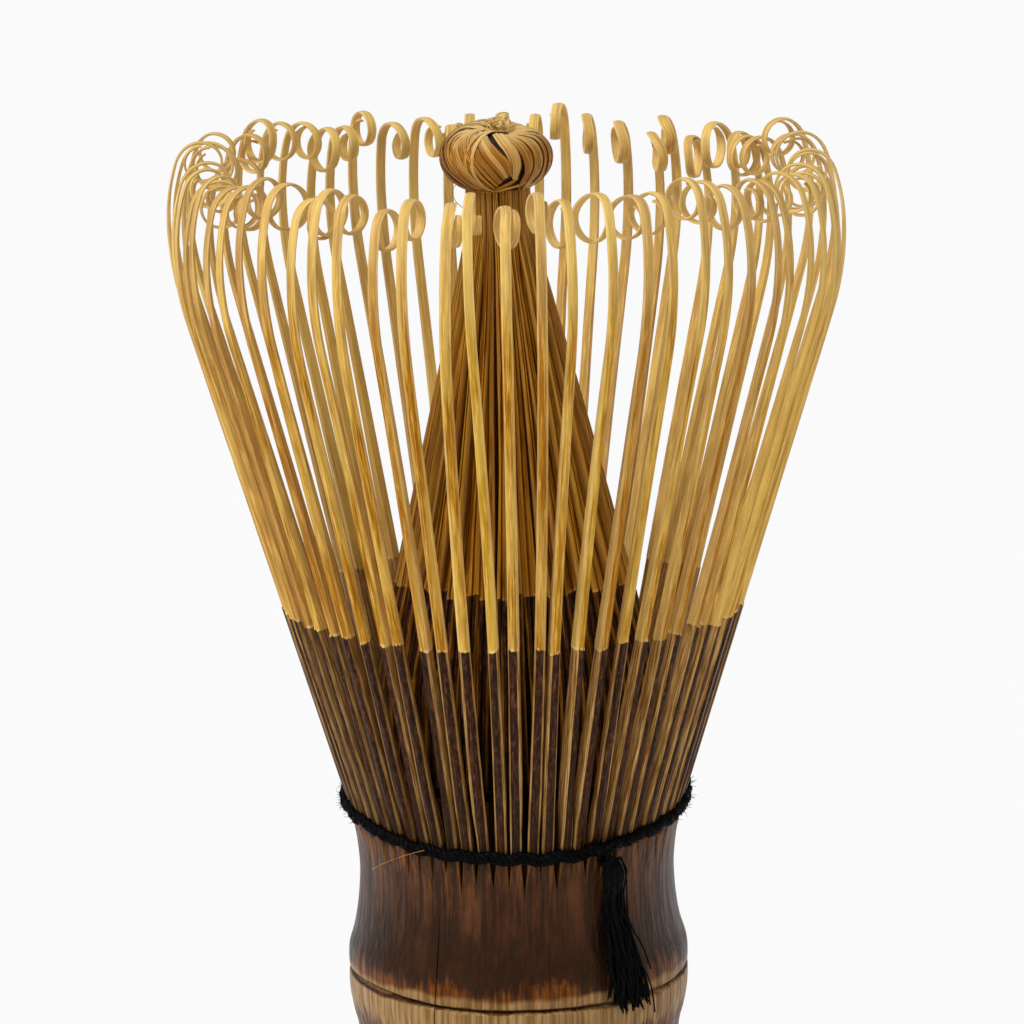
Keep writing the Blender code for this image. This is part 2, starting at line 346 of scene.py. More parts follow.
def tine_section(widths, depths):
    """Seven corners of a split tine: a rounded skin, bevelled cut sides and a flat back."""
    widths, depths = np.asarray(widths)[:, None], np.asarray(depths)[:, None]
    across = widths * np.array([[-0.34, 0.0, 0.34, 0.5, 0.42, -0.42, -0.5]])
    bevel = np.minimum(0.34, 0.42 * depths)
    drop = np.minimum(0.20 * widths, 0.3 * depths)
    inward = drop * np.array([[0.6, 0, 0.6, 0, 0, 0, 0]])
    inward = inward + bevel * np.array([[0, 0, 0, 1, 0, 0, 1]])
    inward = inward + depths * np.array([[0, 0, 0, 0, 1, 1, 0]])
    return across, inward


def grooved_section(widths, depths):
    """Nine corners of a tine scored down its middle, so that it reads as two finer ones."""
    across, inward = tine_section(widths, depths)
    widths, depths = np.asarray(widths)[:, None], np.asarray(depths)[:, None]
    lips = widths * np.array([[-0.11, 0.02, 0.12]])
    floor = np.minimum(0.22, 0.5 * depths) * np.array([[0.1, 1.0, 0.1]])
    across = np.hstack((across[:, :1], lips, across[:, 2:]))
    return across, np.hstack((inward[:, :1], floor, inward[:, 2:]))


# Which sides of each section are cut wood (1), skin (0) or the floor of a score (-1).
TINE_CUT = (0.0, 0.0, 1.0, 1.0, 1.0, 1.0, 1.0)
GROOVED_CUT = (0.0, -1.0, -1.0, 0.0, 1.0, 1.0, 1.0, 1.0, 1.0)
STRIP_CUT = (0.0, 0.0, 0.0, 1.0, 1.0, 1.0)


def round_section(radii, sides):
    angles = 2 * math.pi * np.arange(sides) / sides
    radii = np.asarray(radii, float)[:, None]
    return radii * np.cos(angles)[None], radii * np.sin(angles)[None]


def tube(shape, spine, radii, sides, seed=0.0, tint=0.5):
    """A plain round length, such as a hair or a strand."""
    spine = np.asarray(spine, float)
    along = unit(np.gradient(spine, axis=0))
    spare = np.where(np.abs(along[:, 2:3]) > 0.8, np.array([[1.0, 0, 0]]), np.array([[0, 0, 1.0]]))
    radii = np.broadcast_to(np.asarray(radii, float), (len(spine),))
    across, inward = round_section(radii, sides)
    sweep(shape, spine, spare, across, inward, (0.0,) * sides, 0.0, tint, seed)


# ---------------------------------------------------------------- the tine settings


def nearness(azimuth, middle, reach):
    """1 at the middle azimuth, falling to 0 at reach degrees away from it."""
    away = abs(math.degrees(turn_about(azimuth - middle)))
    return max(0.0, 1 - away / reach)


def tine_plan():
    """What differs from tine to tine: places, slit ends, curls, colours and painted shade on the
    flanks of the left tines.
    """
    draw = random.Random(23)
    plan = []
    for k in range(TINES):
        azimuth = (k + 1) * PITCH
        leant = sum(lean * nearness(azimuth, side, reach) for side, lean, reach in CURL_LEANS)
        flank_shade = nearness(azimuth, SHADED_FLANK_SIDE, SHADED_FLANK_REACH)
        plan.append(
            {
                "azimuth": azimuth + math.radians(draw.uniform(-0.6, 0.6)),
                "slit": draw.uniform(1.4, 3.4) + 1.2 * draw.random() ** 3,
                "mid_shift": draw.uniform(-0.28, 0.28),
                "tip_shift": draw.gauss(0, 0.42),
                "reach": draw.gauss(0, 0.18),
                "shoulder": draw.gauss(0, 0.35),
                "curl": draw.uniform(2.05, 2.5),
                "tighten": draw.uniform(0.55, 0.85),
                "turn": math.radians(draw.uniform(350, 470)),
                "yaw": math.radians(draw.gauss(0, 7) + leant),
                "skew": draw.uniform(0.3, 1.1) * draw.choice((-1, 1, 1)),
                "twist": math.radians(draw.gauss(0, 12)),
                "width": draw.uniform(0.93, 1.08),
                "unshaded_flank": 1 - 0.55 * flank_shade,
                "skin_end": SKIN_END + draw.gauss(0, 0.22),
                "slant": draw.uniform(-0.4, 0.4),
                "tint": draw.random(),
                "seed": draw.random() * 40,
                "root_width": draw.uniform(0.92, 1.06),
            }
        )
    return plan


PLAN = tine_plan()


def slit_azimuth(k):
    """Where the slit between tine k and the next one ends."""
    here = PLAN[k]["azimuth"]
    after = PLAN[(k + 1) % TINES]["azimuth"]
    if k == TINES - 1:
        after += 2 * math.pi
    return (here + after) / 2


def slit_end(k):
    """The height that the slit between tine k and the next one reaches down to."""
    return float(lace_rise(slit_azimuth(k))) - 0.5 - PLAN[k]["slit"]


def tab_edges(k, height):
    """Azimuths of the two edges of tine k at a height below the thread."""
    tine = PLAN[k]
    edges = []
    for side, slit in ((-1, (k - 1) % TINES), (1, k)):
        boundary = slit_azimuth(slit)
        if side < 0 and k == 0:
            boundary -= 2 * math.pi
        low = slit_end(slit)
        high = float(lace_rise(tine["azimuth"]))
        share = min(1.0, max(0.0, (height - low) / (high - low))) ** 0.75
        half = TAB_WIDTH * tine["root_width"] / 2 / float(skin_radius(height))
        edges.append(boundary + (tine["azimuth"] + side * half - boundary) * share)
    return edges


# ---------------------------------------------------------------- the handle


def handle_heights():
    """Rows below the rim, from the foot up, close together where the shape is fine."""
    rows = [FOOT + 0.12, FOOT + 0.45]
    rows += list(np.arange(FOOT + 1.5, -25.0, 1.7))
    rows += list(np.arange(-24.6, -17.0, 0.7))
    rows += list(np.arange(-16.9, -14.6, 0.11))
    rows += list(np.arange(-14.5, -6.9, 0.5))
    rows += list(np.arange(-6.7, RIM_HEIGHT - 0.2, 0.3))
    rows.append(RIM_HEIGHT)
    return rows


def node_wave(azimuth, height):
    """The node isn't quite level: its ridges and groove wander a little."""
    near = math.exp(-(((height - GROOVE_HEIGHT) / 5.0) ** 2))
    wave = 0.22 * math.sin(azimuth * 2 + 0.6) + 0.10 * math.sin(azimuth * 5 + 2.0)
    return near * wave


def outer_point(azimuth, height, sunk=0.0):
    """A point of the culm's skin, or sunk below it, with the groove and the uneven roundness."""
    real = height + node_wave(azimuth, height)
    radius = float(skin_radius(height))
    radius -= GROOVE_DEPTH * math.exp(-(((height - GROOVE_HEIGHT) / GROOVE_HALF_WIDTH) ** 2))
    ridge = math.exp(-(((height + 16.0) / 4.0) ** 2))
    oval = 0.05 * ridge * math.sin(3 * azimuth + 1.0) + 0.03 * math.sin(2 * azimuth + height * 0.05)
    ribs = 0.012 * math.sin(azimuth * 37 + height * 0.11)
    radius += oval
    radius += ribs + 0.010 * math.sin(azimuth * 61 - height * 0.07)
    radius -= sunk
    return np.array((radius * math.cos(azimuth), radius * math.sin(azimuth), real))


def crack_shift(azimuths, height):
    """Draws three neighbouring columns together at each crack, and returns the cracks' depths."""
    depths = [0.0] * len(azimuths)
    for at, top, bottom, half, depth in CRACKS:
        grow = float(smoothstep(0, 4.0, top - height) * smoothstep(0, 3.0, height - bottom))
        sway = 0.5 * math.sin(height * 0.35) + 0.25 * math.sin(height * 1.1 + at)
        wander = at + math.radians(sway)
        near = min(range(len(azimuths)), key=lambda i: abs(turn_about(azimuths[i] - at)))
        pull = float(smoothstep(top + 2.5, top, height))
        size = half * (0.25 + 0.75 * grow) / float(skin_radius(height))
        for offset in (-1, 0, 1):
            i = (near + offset) % len(azimuths)
            goal = azimuths[i] + turn_about(wander + offset * size - azimuths[i])
            azimuths[i] += (goal - azimuths[i]) * pull
        depths[near] = depth * grow
    return depths


def skin_row(height):
    """Azimuths and depths of the columns of one row below the slits, four to a tine."""
    azimuths = []
    for k in range(TINES):
        left, right = tab_edges(k, height)
        azimuths += [left + (right - left) * share for share in TAB_COLUMNS[:4]]
    return azimuths, crack_shift(azimuths, height)


class Culm:
    """Builds the handle's mesh: skin, slits, tabs, rim, cup, diaphragm and bore."""

    def __init__(self):
        self.bm = bmesh.new()
        self.cut = self.bm.faces.layers.float.new("cut")

    def vert(self, point):
        return self.bm.verts.new(point)

    def face(self, verts, cut=0.0):
        kept = [v for i, v in enumerate(verts) if v not in verts[:i]]
        if len(kept) < 3:
            return
        made = self.bm.faces.new(kept)
        made[self.cut] = cut

    def ring(self, radius, height, azimuths):
        return [self.vert((radius * math.cos(a), radius * math.sin(a), height)) for a in azimuths]


def row_height(height, share, azimuth):
    """A row's height: level below the rim, and sharing the way up to the thread above it."""
    if share is None:
        return height
    return RIM_HEIGHT + share * (float(lace_rise(azimuth)) + 0.1 - RIM_HEIGHT)


def plain_row(culm, height):
    """A row below the slits, where neighbouring tines share their corners."""
    azimuths, depths = skin_row(height)
    flat = [culm.vert(outer_point(a, height, d)) for a, d in zip(azimuths, depths)]
    skin, back = [], []
    for k in range(TINES):
        skin.append([*flat[4 * k : 4 * k + 4], flat[(4 * k + 4) % len(flat)]])
        back.append([skin[-1][0], skin[-1][4]])
    return skin, back, [True] * TINES


def tine_columns(k, z, opened):
    """Azimuths of a tine's five columns and their depths, bevelled beside an open slit."""
    left, right = tab_edges(k, z)
    depths, shares = [0.0] * 5, list(TAB_COLUMNS)
    for column, is_open, slit in ((0, opened[k - 1], (k - 1) % TINES), (4, opened[k], k)):
        if is_open:
            grown = min(1.0, max(0.08, (z - slit_end(slit)) / 2.4))
            depths[column] = BEVEL_DROP * grown
            shares[1 if column == 0 else 3] = abs(column / 4 - BEVEL_SHARE * grown)
    return [left + (right - left) * share for share in shares], depths


def tine_skin(culm, k, z, columns, depths, opened, skin):
    """The five corners of a tine's skin, shared with its neighbours where no slit is open."""
    verts = [culm.vert(outer_point(a, z, d)) for a, d in zip(columns, depths)]
    if k and not opened[k - 1]:
        culm.bm.verts.remove(verts[0])
        verts[0] = skin[k - 1][4]
    if k == TINES - 1 and not opened[k]:
        culm.bm.verts.remove(verts[4])
        verts[4] = skin[0][0]
    return verts


def tine_back(culm, k, z, columns, verts, opened, back, full):
    """The two corners behind a tine's skin: the floors of the slits on either side of it."""
    pair = []
    for corner, is_open, slit in ((0, opened[k - 1], (k - 1) % TINES), (4, opened[k], k)):
        if not full and not is_open:
            pair.append(verts[corner])
            continue
        if corner == 0 and k and not is_open:
            pair.append(back[k - 1][1])
            continue
        if corner == 4 and k == TINES - 1 and not is_open:
            pair.append(back[0][0])
            continue
        sink = SLIT_DEPTH
        if not full:
            sink = min(SLIT_DEPTH, 1.6 * max(0.0, z - slit_end(slit)) + 0.15)
        pair.append(culm.vert(outer_point(columns[corner], z, sink)))
    return pair


def slit_row(culm, height, share):
    """A row where slits may be open. It is level up to the rim and follows the thread above it."""
    opened = [row_height(height, share, slit_azimuth(k)) > slit_end(k) for k in range(TINES)]
    skin, back = [], []
    for k in range(TINES):
        z = row_height(height, share, PLAN[k]["azimuth"])
        columns, depths = tine_columns(k, z, opened)
        verts = tine_skin(culm, k, z, columns, depths, opened, skin)
        skin.append(verts)
        full = share is not None or z >= RIM_HEIGHT - 1e-6
        back.append(tine_back(culm, k, z, columns, verts, opened, back, full))
    return skin, back, [not is_open for is_open in opened]


def culm_wall(culm, heights):
    """Skin and back corners of every tine at every row, and which of its slits are closed."""
    rows = []
    for height in heights:
        if height < SLITS_FROM:
            rows.append(plain_row(culm, height))
        else:
            rows.append(slit_row(culm, height, None))
    for share in TAB_ROWS:
        rows.append(slit_row(culm, None, share))
    return rows


def culm_faces(culm, rows, rim_row):
    """Skins, slit sides, slit floors and tab backs between neighbouring rows."""
    for index, (low, high) in enumerate(zip(rows, rows[1:])):
        skin, back, _ = low
        skin_up, back_up, closed = high
        for k in range(TINES):
            after = (k + 1) % TINES
            bevels = {0: not (closed[k - 1] or low[2][k - 1]), 3: not (closed[k] or low[2][k])}
            for j in range(4):
                corners = [skin[k][j], skin[k][j + 1], skin_up[k][j + 1], skin_up[k][j]]
                culm.face(corners, 1.0 if bevels.get(j) else 0.0)
            if not closed[k]:
                culm.face([skin[k][4], back[k][1], back_up[k][1], skin_up[k][4]], 1.0)
                right = [skin[after][0], skin_up[after][0], back_up[after][0], back[after][0]]
                culm.face(right, 1.0)
            if index + 1 <= rim_row and not closed[k]:
                culm.face([back[k][1], back[after][0], back_up[after][0], back_up[k][1]], 1.0)
            if index >= rim_row:
                culm.face([back[k][0], back_up[k][0], back_up[k][1], back[k][1]], 1.0)
    skin, back, _ = rows[-1]
    for k in range(TINES):
        culm.face([*skin[k], back[k][1], back[k][0]], 1.0)


def culm_rim(culm, back):
    """The flat rim between the backs of the tines and the cup's mouth."""
    azimuths = []
    for k in range(TINES):
        azimuths += tab_edges(k, RIM_HEIGHT)
    if len(set(azimuths)) < len(azimuths):
        apart = 1e-4  # keeps the corners of neighbouring tines from falling together
        azimuths = [a + (-apart if i % 2 else apart) for i, a in enumerate(azimuths)]
    mouth = culm.ring(CUP_MOUTH, RIM_HEIGHT, azimuths)
    for k in range(TINES):
        after = (k + 1) % TINES
        culm.face([back[k][0], back[k][1], mouth[2 * k + 1], mouth[2 * k]], 1.0)
        culm.face([back[k][1], back[after][0], mouth[2 * after], mouth[2 * k + 1]], 1.0)
    return mouth


def culm_hollow(culm, levels, previous=None):
    """Rings joined one to the next, from a ring already there or from a closed end."""
    even = [(i + 1.5) * math.pi / TINES for i in range(2 * TINES)]
    for radius, height in levels:
        ring = culm.ring(radius, height, even)
        if previous:
            close_rings(culm, previous, ring)
        else:
            culm.face(ring, 1.0)
        previous = ring
    return previous


def culm_foot(culm, skin, bore):
    """The sawn foot, between the lowest row of the skin and the bore's mouth."""
    azimuths, _ = skin_row(FOOT + 0.12)
    edge = [culm.vert(outer_point(a, FOOT, 0.35)) for a in azimuths]
    for k in range(TINES):
        for j in range(4):
            i = 4 * k + j
            culm.face([edge[i], edge[(i + 1) % len(edge)], skin[k][j + 1], skin[k][j]])
        ends = [edge[(4 * k + j) % len(edge)] for j in range(5)]
        inner = [bore[(2 * k + 2) % len(bore)], bore[2 * k + 1], bore[2 * k]]
        culm.face([*ends, *inner], 1.0)


def culm_inside(culm, rows, rim_row):
    """Rim, cup, diaphragm, bore and foot, which join the wall's two ends."""
    mouth = culm_rim(culm, rows[rim_row][1])
    cup = (
        (CUP_MOUTH - 0.5, -7.0),
        (CUP_FLOOR, DIAPHRAGM_TOP + 0.6),
        (CUP_FLOOR - 0.7, DIAPHRAGM_TOP),
        (4.0, DIAPHRAGM_TOP - 0.3),
    )
    bore = (
        (4.0, DIAPHRAGM_BOTTOM + 0.3),
        (BORE - 0.7, DIAPHRAGM_BOTTOM),
        (BORE, DIAPHRAGM_BOTTOM - 0.7),
        (BORE, FOOT + 0.4),
        (BORE + 0.3, FOOT),
    )
    culm.face(culm_hollow(culm, cup, mouth), 1.0)
    culm_foot(culm, rows[0][0], culm_hollow(culm, bore))


def close_rings(culm, near, far):
    """A band of faces from one ring to the next."""
    for i in range(len(near)):
        j = (i + 1) % len(near)
        culm.face([near[i], near[j], far[j], far[i]], 1.0)


def build_handle(mat):
    """The culm, with every point's own place kept as its grain."""
    culm = Culm()
    heights = handle_heights()
    rows = culm_wall(culm, heights)
    rim_row = len(heights) - 1
    culm_faces(culm, rows, rim_row)
    culm_inside(culm, rows, rim_row)
    bm = culm.bm
    loose = [v for v in bm.verts if not v.link_faces]
    bmesh.ops.delete(bm, geom=loose, context="VERTS")
    bmesh.ops.recalc_face_normals(bm, faces=bm.faces)
    grain = bm.verts.layers.float_vector.new("grain")
    for v in bm.verts:
        v[grain] = v.co
        v.co = Vector((v.co.x * MM, v.co.y * MM, v.co.z * MM + THREAD_HEIGHT))
    mesh = bpy.data.meshes.new("culm_handle")
    bm.to_mesh(mesh)
    bm.free()
    finish_mesh(mesh, mat, 38)
    obj = place("culm_handle", mesh)
    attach(obj, "handle")
    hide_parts("handle")


# ---------------------------------------------------------------- outer tines


def outer_line(tine):
    """The tine's line in its own upright plane: radius, height, heading and curl so far."""
    start = float(lace_rise(tine["azimuth"]))
    bend_high = SHOULDER_BEND + tine["shoulder"] * 2
    crown = CROWN_RADIUS - 0.12 + tine["reach"]
    bend_start = (crown - bend_high * (1 - math.cos(LEAN)) - THREAD_RADIUS) / math.tan(LEAN)
    heights = [*np.linspace(start, tine["skin_end"] - 0.25, 10)]
    heights += [tine["skin_end"] - 0.05, tine["skin_end"] + 0.12]
    heights += [*np.linspace(tine["skin_end"] + 1.5, bend_start, 9)]
    line = []
    for z in heights:
        slope = (float(skin_radius(z + 0.05)) - float(skin_radius(z - 0.05))) / 0.1
        line.append((float(skin_radius(z)), z, math.atan(slope), 0.0))
    radius, height, heading = line[-1][0], line[-1][1], LEAN
    arcs = [(bend_high, LEAN, 8), (CROWN_BEND, CROWN_TURN, 6)]
    for k in range(CURL_STEPS):
        share = k / (CURL_STEPS - 1)
        size = tine["curl"] * (1 - (1 - tine["tighten"]) * share)
        size += 0.8 * max(0.0, 1 - share * 7)
        arcs.append((size, tine["turn"] / CURL_STEPS, 1))
    for bend, turn, stations in arcs:
        for _ in range(stations):
            step = turn / stations
            middle = heading - step / 2
            chord = 2 * bend * math.sin(step / 2)
            radius += chord * math.sin(middle)
            height += chord * math.cos(middle)
            heading -= step
            turned = max(0.0, -heading - CROWN_TURN)
            line.append((radius, height, heading, turned))
    return line


def outer_twist(tine, height, curled):
    """How far the tine is turned about its own line, between its root and its shoulder."""
    twist = tine["twist"] * smoothstep(height[0], height[0] + 6, height)
    twist = np.where(curled, tine["twist"], twist) * (1 - smoothstep(40, 52, height))
    return np.where(curled, 0.0, twist)[:, None]


def outer_widths(tine, start, travelled):
    """The tine's width along its line: the tab's at the root, and narrowed at the end."""
    widths = ramp(OUTER_WIDTHS, travelled) * tine["width"]
    root = TAB_WIDTH * tine["root_width"]
    widths = root + (widths - root) * smoothstep(start, start + 6, travelled)
    end = travelled[-1]
    return widths * (1 - 0.45 * smoothstep(end - 2.0, end, travelled))


def outer_tine(shape, tine):
    """One tine from the thread to the end of its curl, which leans and drifts a little."""
    radius, height, heading, turned = np.array(outer_line(tine)).T
    out, side = radial(tine["azimuth"]), tangent(tine["azimuth"])
    curled = turned > 0
    first_curl = np.argmax(curled)
    share = turned / (2 * math.pi)
    drift = tine["mid_shift"] * np.sin(np.pi * np.clip(height / 48.0, 0, 1))
    drift = drift + tine["tip_shift"] * np.clip(height / 58.0, 0, 1) ** 1.6
    drift = np.where(curled, drift[first_curl], drift) + tine["skew"] * share
    yaw = tine["yaw"] * smoothstep(0, math.pi, turned)
    reach = radius - radius[first_curl]
    flat = radius[first_curl] + reach * np.cos(yaw)
    sideways = drift + reach * np.sin(yaw)
    spine = flat[:, None] * out + sideways[:, None] * side + height[:, None] * UP
    level = np.cos(heading)
    normals = (level * np.cos(yaw))[:, None] * out + (level * np.sin(yaw))[:, None] * side
    normals = normals + -np.sin(heading)[:, None] * UP
    twist = outer_twist(tine, height, curled)
    normals = normals * np.cos(twist) + side * np.sin(twist)
    shaved = SKIN_STEP * smoothstep(tine["skin_end"] - 0.06, tine["skin_end"] + 0.1, height)
    spine -= normals * np.where(curled, SKIN_STEP, shaved)[:, None]
    travelled = distances(spine) + height[0]
    widths = outer_widths(tine, height[0], travelled)
    across, inward = tine_section(widths, ramp(OUTER_DEPTHS, travelled))
    rise = height[:, None] - tine["skin_end"] + tine["slant"] * across
    rise = np.where(curled[:, None], 40.0, rise)
    # Painted shade: near the shaded side less of each flank counts as cut, so it takes the dark
    # skin colour.
    cut_sides = [side_cut * tine["unshaded_flank"] for side_cut in TINE_CUT]
    sweep(shape, spine, normals, across, inward, cut_sides, rise, tine["tint"], tine["seed"])


def build_outer(mat):
    """Sixteen combs of four tines, each bending smoothly out of the handle above the thread."""
    for split in range(SPLITS):
        shape = Shape()
        for k in range(TINES_PER_SPLIT):
            outer_tine(shape, PLAN[split * TINES_PER_SPLIT + k])
        node = f"outer_split_{split + 1:02d}"
        name = f"outer_comb_{split + 1:02d}"
        piece = make_piece(name, shape, mat, sharp=36)
        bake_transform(piece)
        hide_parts(node)


# ---------------------------------------------------------------- inner tines


def inner_line():
    """The inner tines' common line: up from the cup, in along the cone and up the neck."""
    run = NECK_HEIGHT - CONE_BEND_HEIGHT
    lean = math.atan2(CONE_RADIUS - NECK_RADIUS, run)
    cone_tangent = CONE_BEND * math.tan(lean / 2)
    neck_tangent = NECK_BEND * math.tan(lean / 2)
    slope = run / math.cos(lean) - cone_tangent - neck_tangent
    pieces = (
        (CONE_BEND_HEIGHT - cone_tangent - CONE_START, 0.0, 6),
        (CONE_BEND * lean, lean, 6),
        (slope, 0.0, 14),
        (NECK_BEND * lean, -lean, 4),
        (CONE_TOP - NECK_HEIGHT - neck_tangent, 0.0, 3),
    )
    radius, height, heading = CONE_RADIUS, CONE_START, 0.0
    line = [(radius, height, heading)]
    for length, turn, stations in pieces:
        step = length / stations
        for _ in range(stations):
            middle = heading - turn / stations / 2
            radius += step * math.sin(middle)
            height += step * math.cos(middle)
            heading -= turn / stations
            line.append((radius, height, heading))
    return np.array(line)


def inner_tine(shape, draw, k, line):
    """One tine of the cone. Every second one lies a little behind its neighbours."""
    radius, height, heading = line.T
    azimuth = (k + 0.5) * PITCH + math.radians(0.6 + draw.uniform(-0.6, 0.6))
    out, side = radial(azimuth), tangent(azimuth)
    high = np.clip(height / NECK_HEIGHT, 0, 1)
    bow = np.sin(np.pi * high)
    behind = (k % 2) * smoothstep(10, 26, height) * (1 - smoothstep(46, 54, height))
    radius = radius - SECOND_ROW_STEP * behind + draw.uniform(-0.25, 0.30) * bow * (1 - behind)
    sideways = draw.uniform(-0.50, 0.50) * bow * (1 - behind) + draw.uniform(-0.22, 0.22) * high
    sideways = sideways + draw.uniform(-0.15, 0.15) * np.sin(3 * np.pi * high)
    spine = radius[:, None] * out + sideways[:, None] * side + height[:, None] * UP
    spine[:, 0] += TIP_DRIFT * (np.maximum(height, 0) / KNOT_CENTRE[2]) ** 2
    normals = np.cos(heading)[:, None] * out - np.sin(heading)[:, None] * UP
    skin_end = CONE_SKIN_END + 0.7 * max(0.0, -math.sin(azimuth)) + draw.gauss(0, 0.2)
    widths = ramp(CONE_WIDTHS, height) * draw.uniform(0.88, 1.1) * (1 + 0.7 * behind)
    across, inward = grooved_section(widths, ramp(CONE_DEPTHS, height))
    rise = height[:, None] - skin_end + draw.uniform(-0.5, 0.5) * across
    tint, seed = draw.random(), draw.random() * 40
    sweep(shape, spine, normals, across, inward, GROOVED_CUT, rise, tint, seed)


def build_inner(mat):
    """Sixteen combs of four tines, up the cone and, at the top, to the bun."""
    draw = random.Random(71)
    line = inner_line()
    for split in range(SPLITS):
        shape = Shape()
        for k in range(TINES_PER_SPLIT):
            inner_tine(shape, draw, split * TINES_PER_SPLIT + k, line)
        name = f"inner_comb_{split + 1:02d}"
        piece = make_piece(name, shape, mat, sharp=36)
        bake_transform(piece)
        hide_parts(f"inner_split_{split + 1:02d}")


# ---------------------------------------------------------------- the tied tip


DIMPLE = unit(np.array((0.15, -0.34, 1.0)))
LEFT_GATHER = unit(np.array((-0.10, -0.60, -0.90)))
RIGHT_GATHER = unit(np.array((0.62, -0.60, -0.80)))
SLUMP = unit(np.array((0.75, 0.45, 0.85)))
GUIDE_TILT = math.radians(12.0)

# Where the strips in front lie: (right, up) from the bun's middle, looked at from a little above.
LEFT_GUIDES = (
    ((-1.00, 1.70), (-0.62, 0.76), (0.12, -0.05), (1.05, -0.90), (1.30, -1.75)),
    ((-1.48, 1.94), (-1.48, 1.09), (-0.94, -0.11), (0.04, -1.31), (0.75, -2.18)),
    ((-1.92, 1.94), (-2.30, 0.98), (-1.81, -0.44), (-0.78, -1.75), (0.15, -2.73)),
    ((-2.25, 1.99), (-3.18, 1.04), (-3.07, -0.38), (-1.98, -2.02), (-0.61, -3.08)),
    ((-1.70, 2.18), (-3.50, 1.53), (-3.91, 0.11), (-3.07, -1.64), (-1.16, -3.14)),
    ((-1.05, 2.24), (-2.90, 2.29), (-4.38, 0.98), (-4.00, -1.20), (-1.59, -3.22)),
    ((-0.39, 2.20), (-2.25, 2.89), (-4.54, 1.20), (-4.49, -0.87), (-2.25, -2.95)),
)
MIDDLE_GUIDES = (
    ((-0.35, 1.75), (0.22, 0.82), (0.85, 0.05), (1.32, -0.85), (1.40, -2.00)),
    ((0.45, 1.75), (1.10, 0.80), (1.62, -0.10), (1.88, -1.10), (1.60, -2.20)),
)
RIGHT_GUIDES = (
    ((0.62, 1.72), (1.60, 0.80), (2.35, -0.35), (2.52, -1.55), (1.95, -2.62)),
    ((1.14, 1.69), (2.50, 0.76), (3.21, -0.33), (3.16, -1.53), (2.34, -2.73)),
    ((1.46, 1.75), (3.21, 1.15), (3.97, -0.11), (3.76, -1.53), (2.61, -2.78)),
    ((1.57, 1.91), (3.65, 1.64), (4.57, 0.22), (4.25, -1.64), (2.77, -2.89)),
    ((1.24, 2.02), (2.88, 2.35), (4.47, 1.20), (4.68, -0.76), (3.21, -2.84)),
)
FOOT_GUIDES = (
    ((1.35, -2.10), (0.95, -2.45), (0.55, -2.70), (0.10, -2.95), (-0.30, -3.15)),
    ((2.90, -2.55), (1.90, -2.80), (0.90, -2.95), (0.10, -3.12), (-0.80, -3.14)),
)


def bun_point(direction, lift):
    """A point on the tied bun in a direction from its middle, with a dimple on top."""
    d = unit(np.asarray(direction, float))
    scale = 1 - 0.26 * np.exp(-((np.arccos(np.clip(d @ DIMPLE, -1, 1)) / 0.34) ** 2))
    scale = scale - 0.13 * np.exp(-((np.arccos(np.clip(d @ SLUMP, -1, 1)) / 0.42) ** 2))
    place_on = d * scale[..., None] * KNOT_RADII
    out = unit(d / KNOT_RADII)
    return place_on + out * np.asarray(lift)[..., None] + np.array(KNOT_CENTRE), out


def bun_arc(a, b, angle, stations=26):
    """Directions along the circle that goes from a to b, leaning out by an angle."""
    middle = (a + b) / 2
    e = unit(b - a)
    f0 = unit(middle)
    g0 = np.cross(e, f0)
    f = math.cos(angle) * f0 + math.sin(angle) * g0
    centre = middle - (middle @ f) * f
    start = math.atan2((a - centre) @ f, (a - centre) @ e)
    stop = math.atan2((b - centre) @ f, (b - centre) @ e)
    if start < stop:
        start += 2 * math.pi
    size = np.linalg.norm(a - centre)
    angles = np.linspace(start, stop, stations)
    return centre + size * (np.cos(angles)[:, None] * e + np.sin(angles)[:, None] * f)


def strip_section(widths, thick):
    """Six corners of a thin strip with slightly rounded edges."""
    widths = np.asarray(widths)[:, None]
    across = widths * np.array([[-0.5, -0.2, 0.2, 0.5, 0.5, -0.5]])
    inward = np.repeat(np.array([[0.05, 0.0, 0.0, 0.05, thick, thick]]), len(widths), 0)
    return across, inward


def guide_directions(points):
    """Directions from the bun's middle to where its front surface is under a guide's points."""
    right, up = points.T
    s, c = math.sin(GUIDE_TILT), math.cos(GUIDE_TILT)
    flat, tall = 1 / KNOT_RADIUS**2, 1 / KNOT_HALF_HEIGHT**2
    a = c * c * flat + s * s * tall
    b = 2 * up * s * c * (flat - tall)
    rest = right**2 * flat + up**2 * (s * s * flat + c * c * tall) - 1
    deep = (-b - np.sqrt(np.maximum(b * b - 4 * a * rest, 0))) / (2 * a)
    placed = np.stack((right, up * s + deep * c, up * c - deep * s), 1)
    return unit(placed / KNOT_RADII)


def bun_strip(shape, draw, directions, lift, width, tuck=0.22):
    """One strip laid over the bun, a little under its neighbour along one edge."""
    share = np.linspace(0, 1, len(directions))
    points, out = bun_point(directions, lift + 0.10 * np.sin(np.pi * share))
    widths = width * (0.5 + 0.5 * np.sin(np.pi * np.clip(share, 0.04, 0.96)) ** 0.6)
    across, inward = strip_section(widths, STRIP_THICKNESS)
    along = unit(np.gradient(points, axis=0))
    normals = out + (tuck + draw.uniform(-0.1, 0.1)) * np.cross(along, out)
    # The height on the bun, which the strip material turns into a painted highlight toward the top.
    rise = (points[:, 2:] - KNOT_CENTRE[2]) / KNOT_HALF_HEIGHT
    tint, seed = draw.random(), draw.random() * 40
    sweep(shape, points, normals, across, inward, STRIP_CUT, rise, tint, seed)


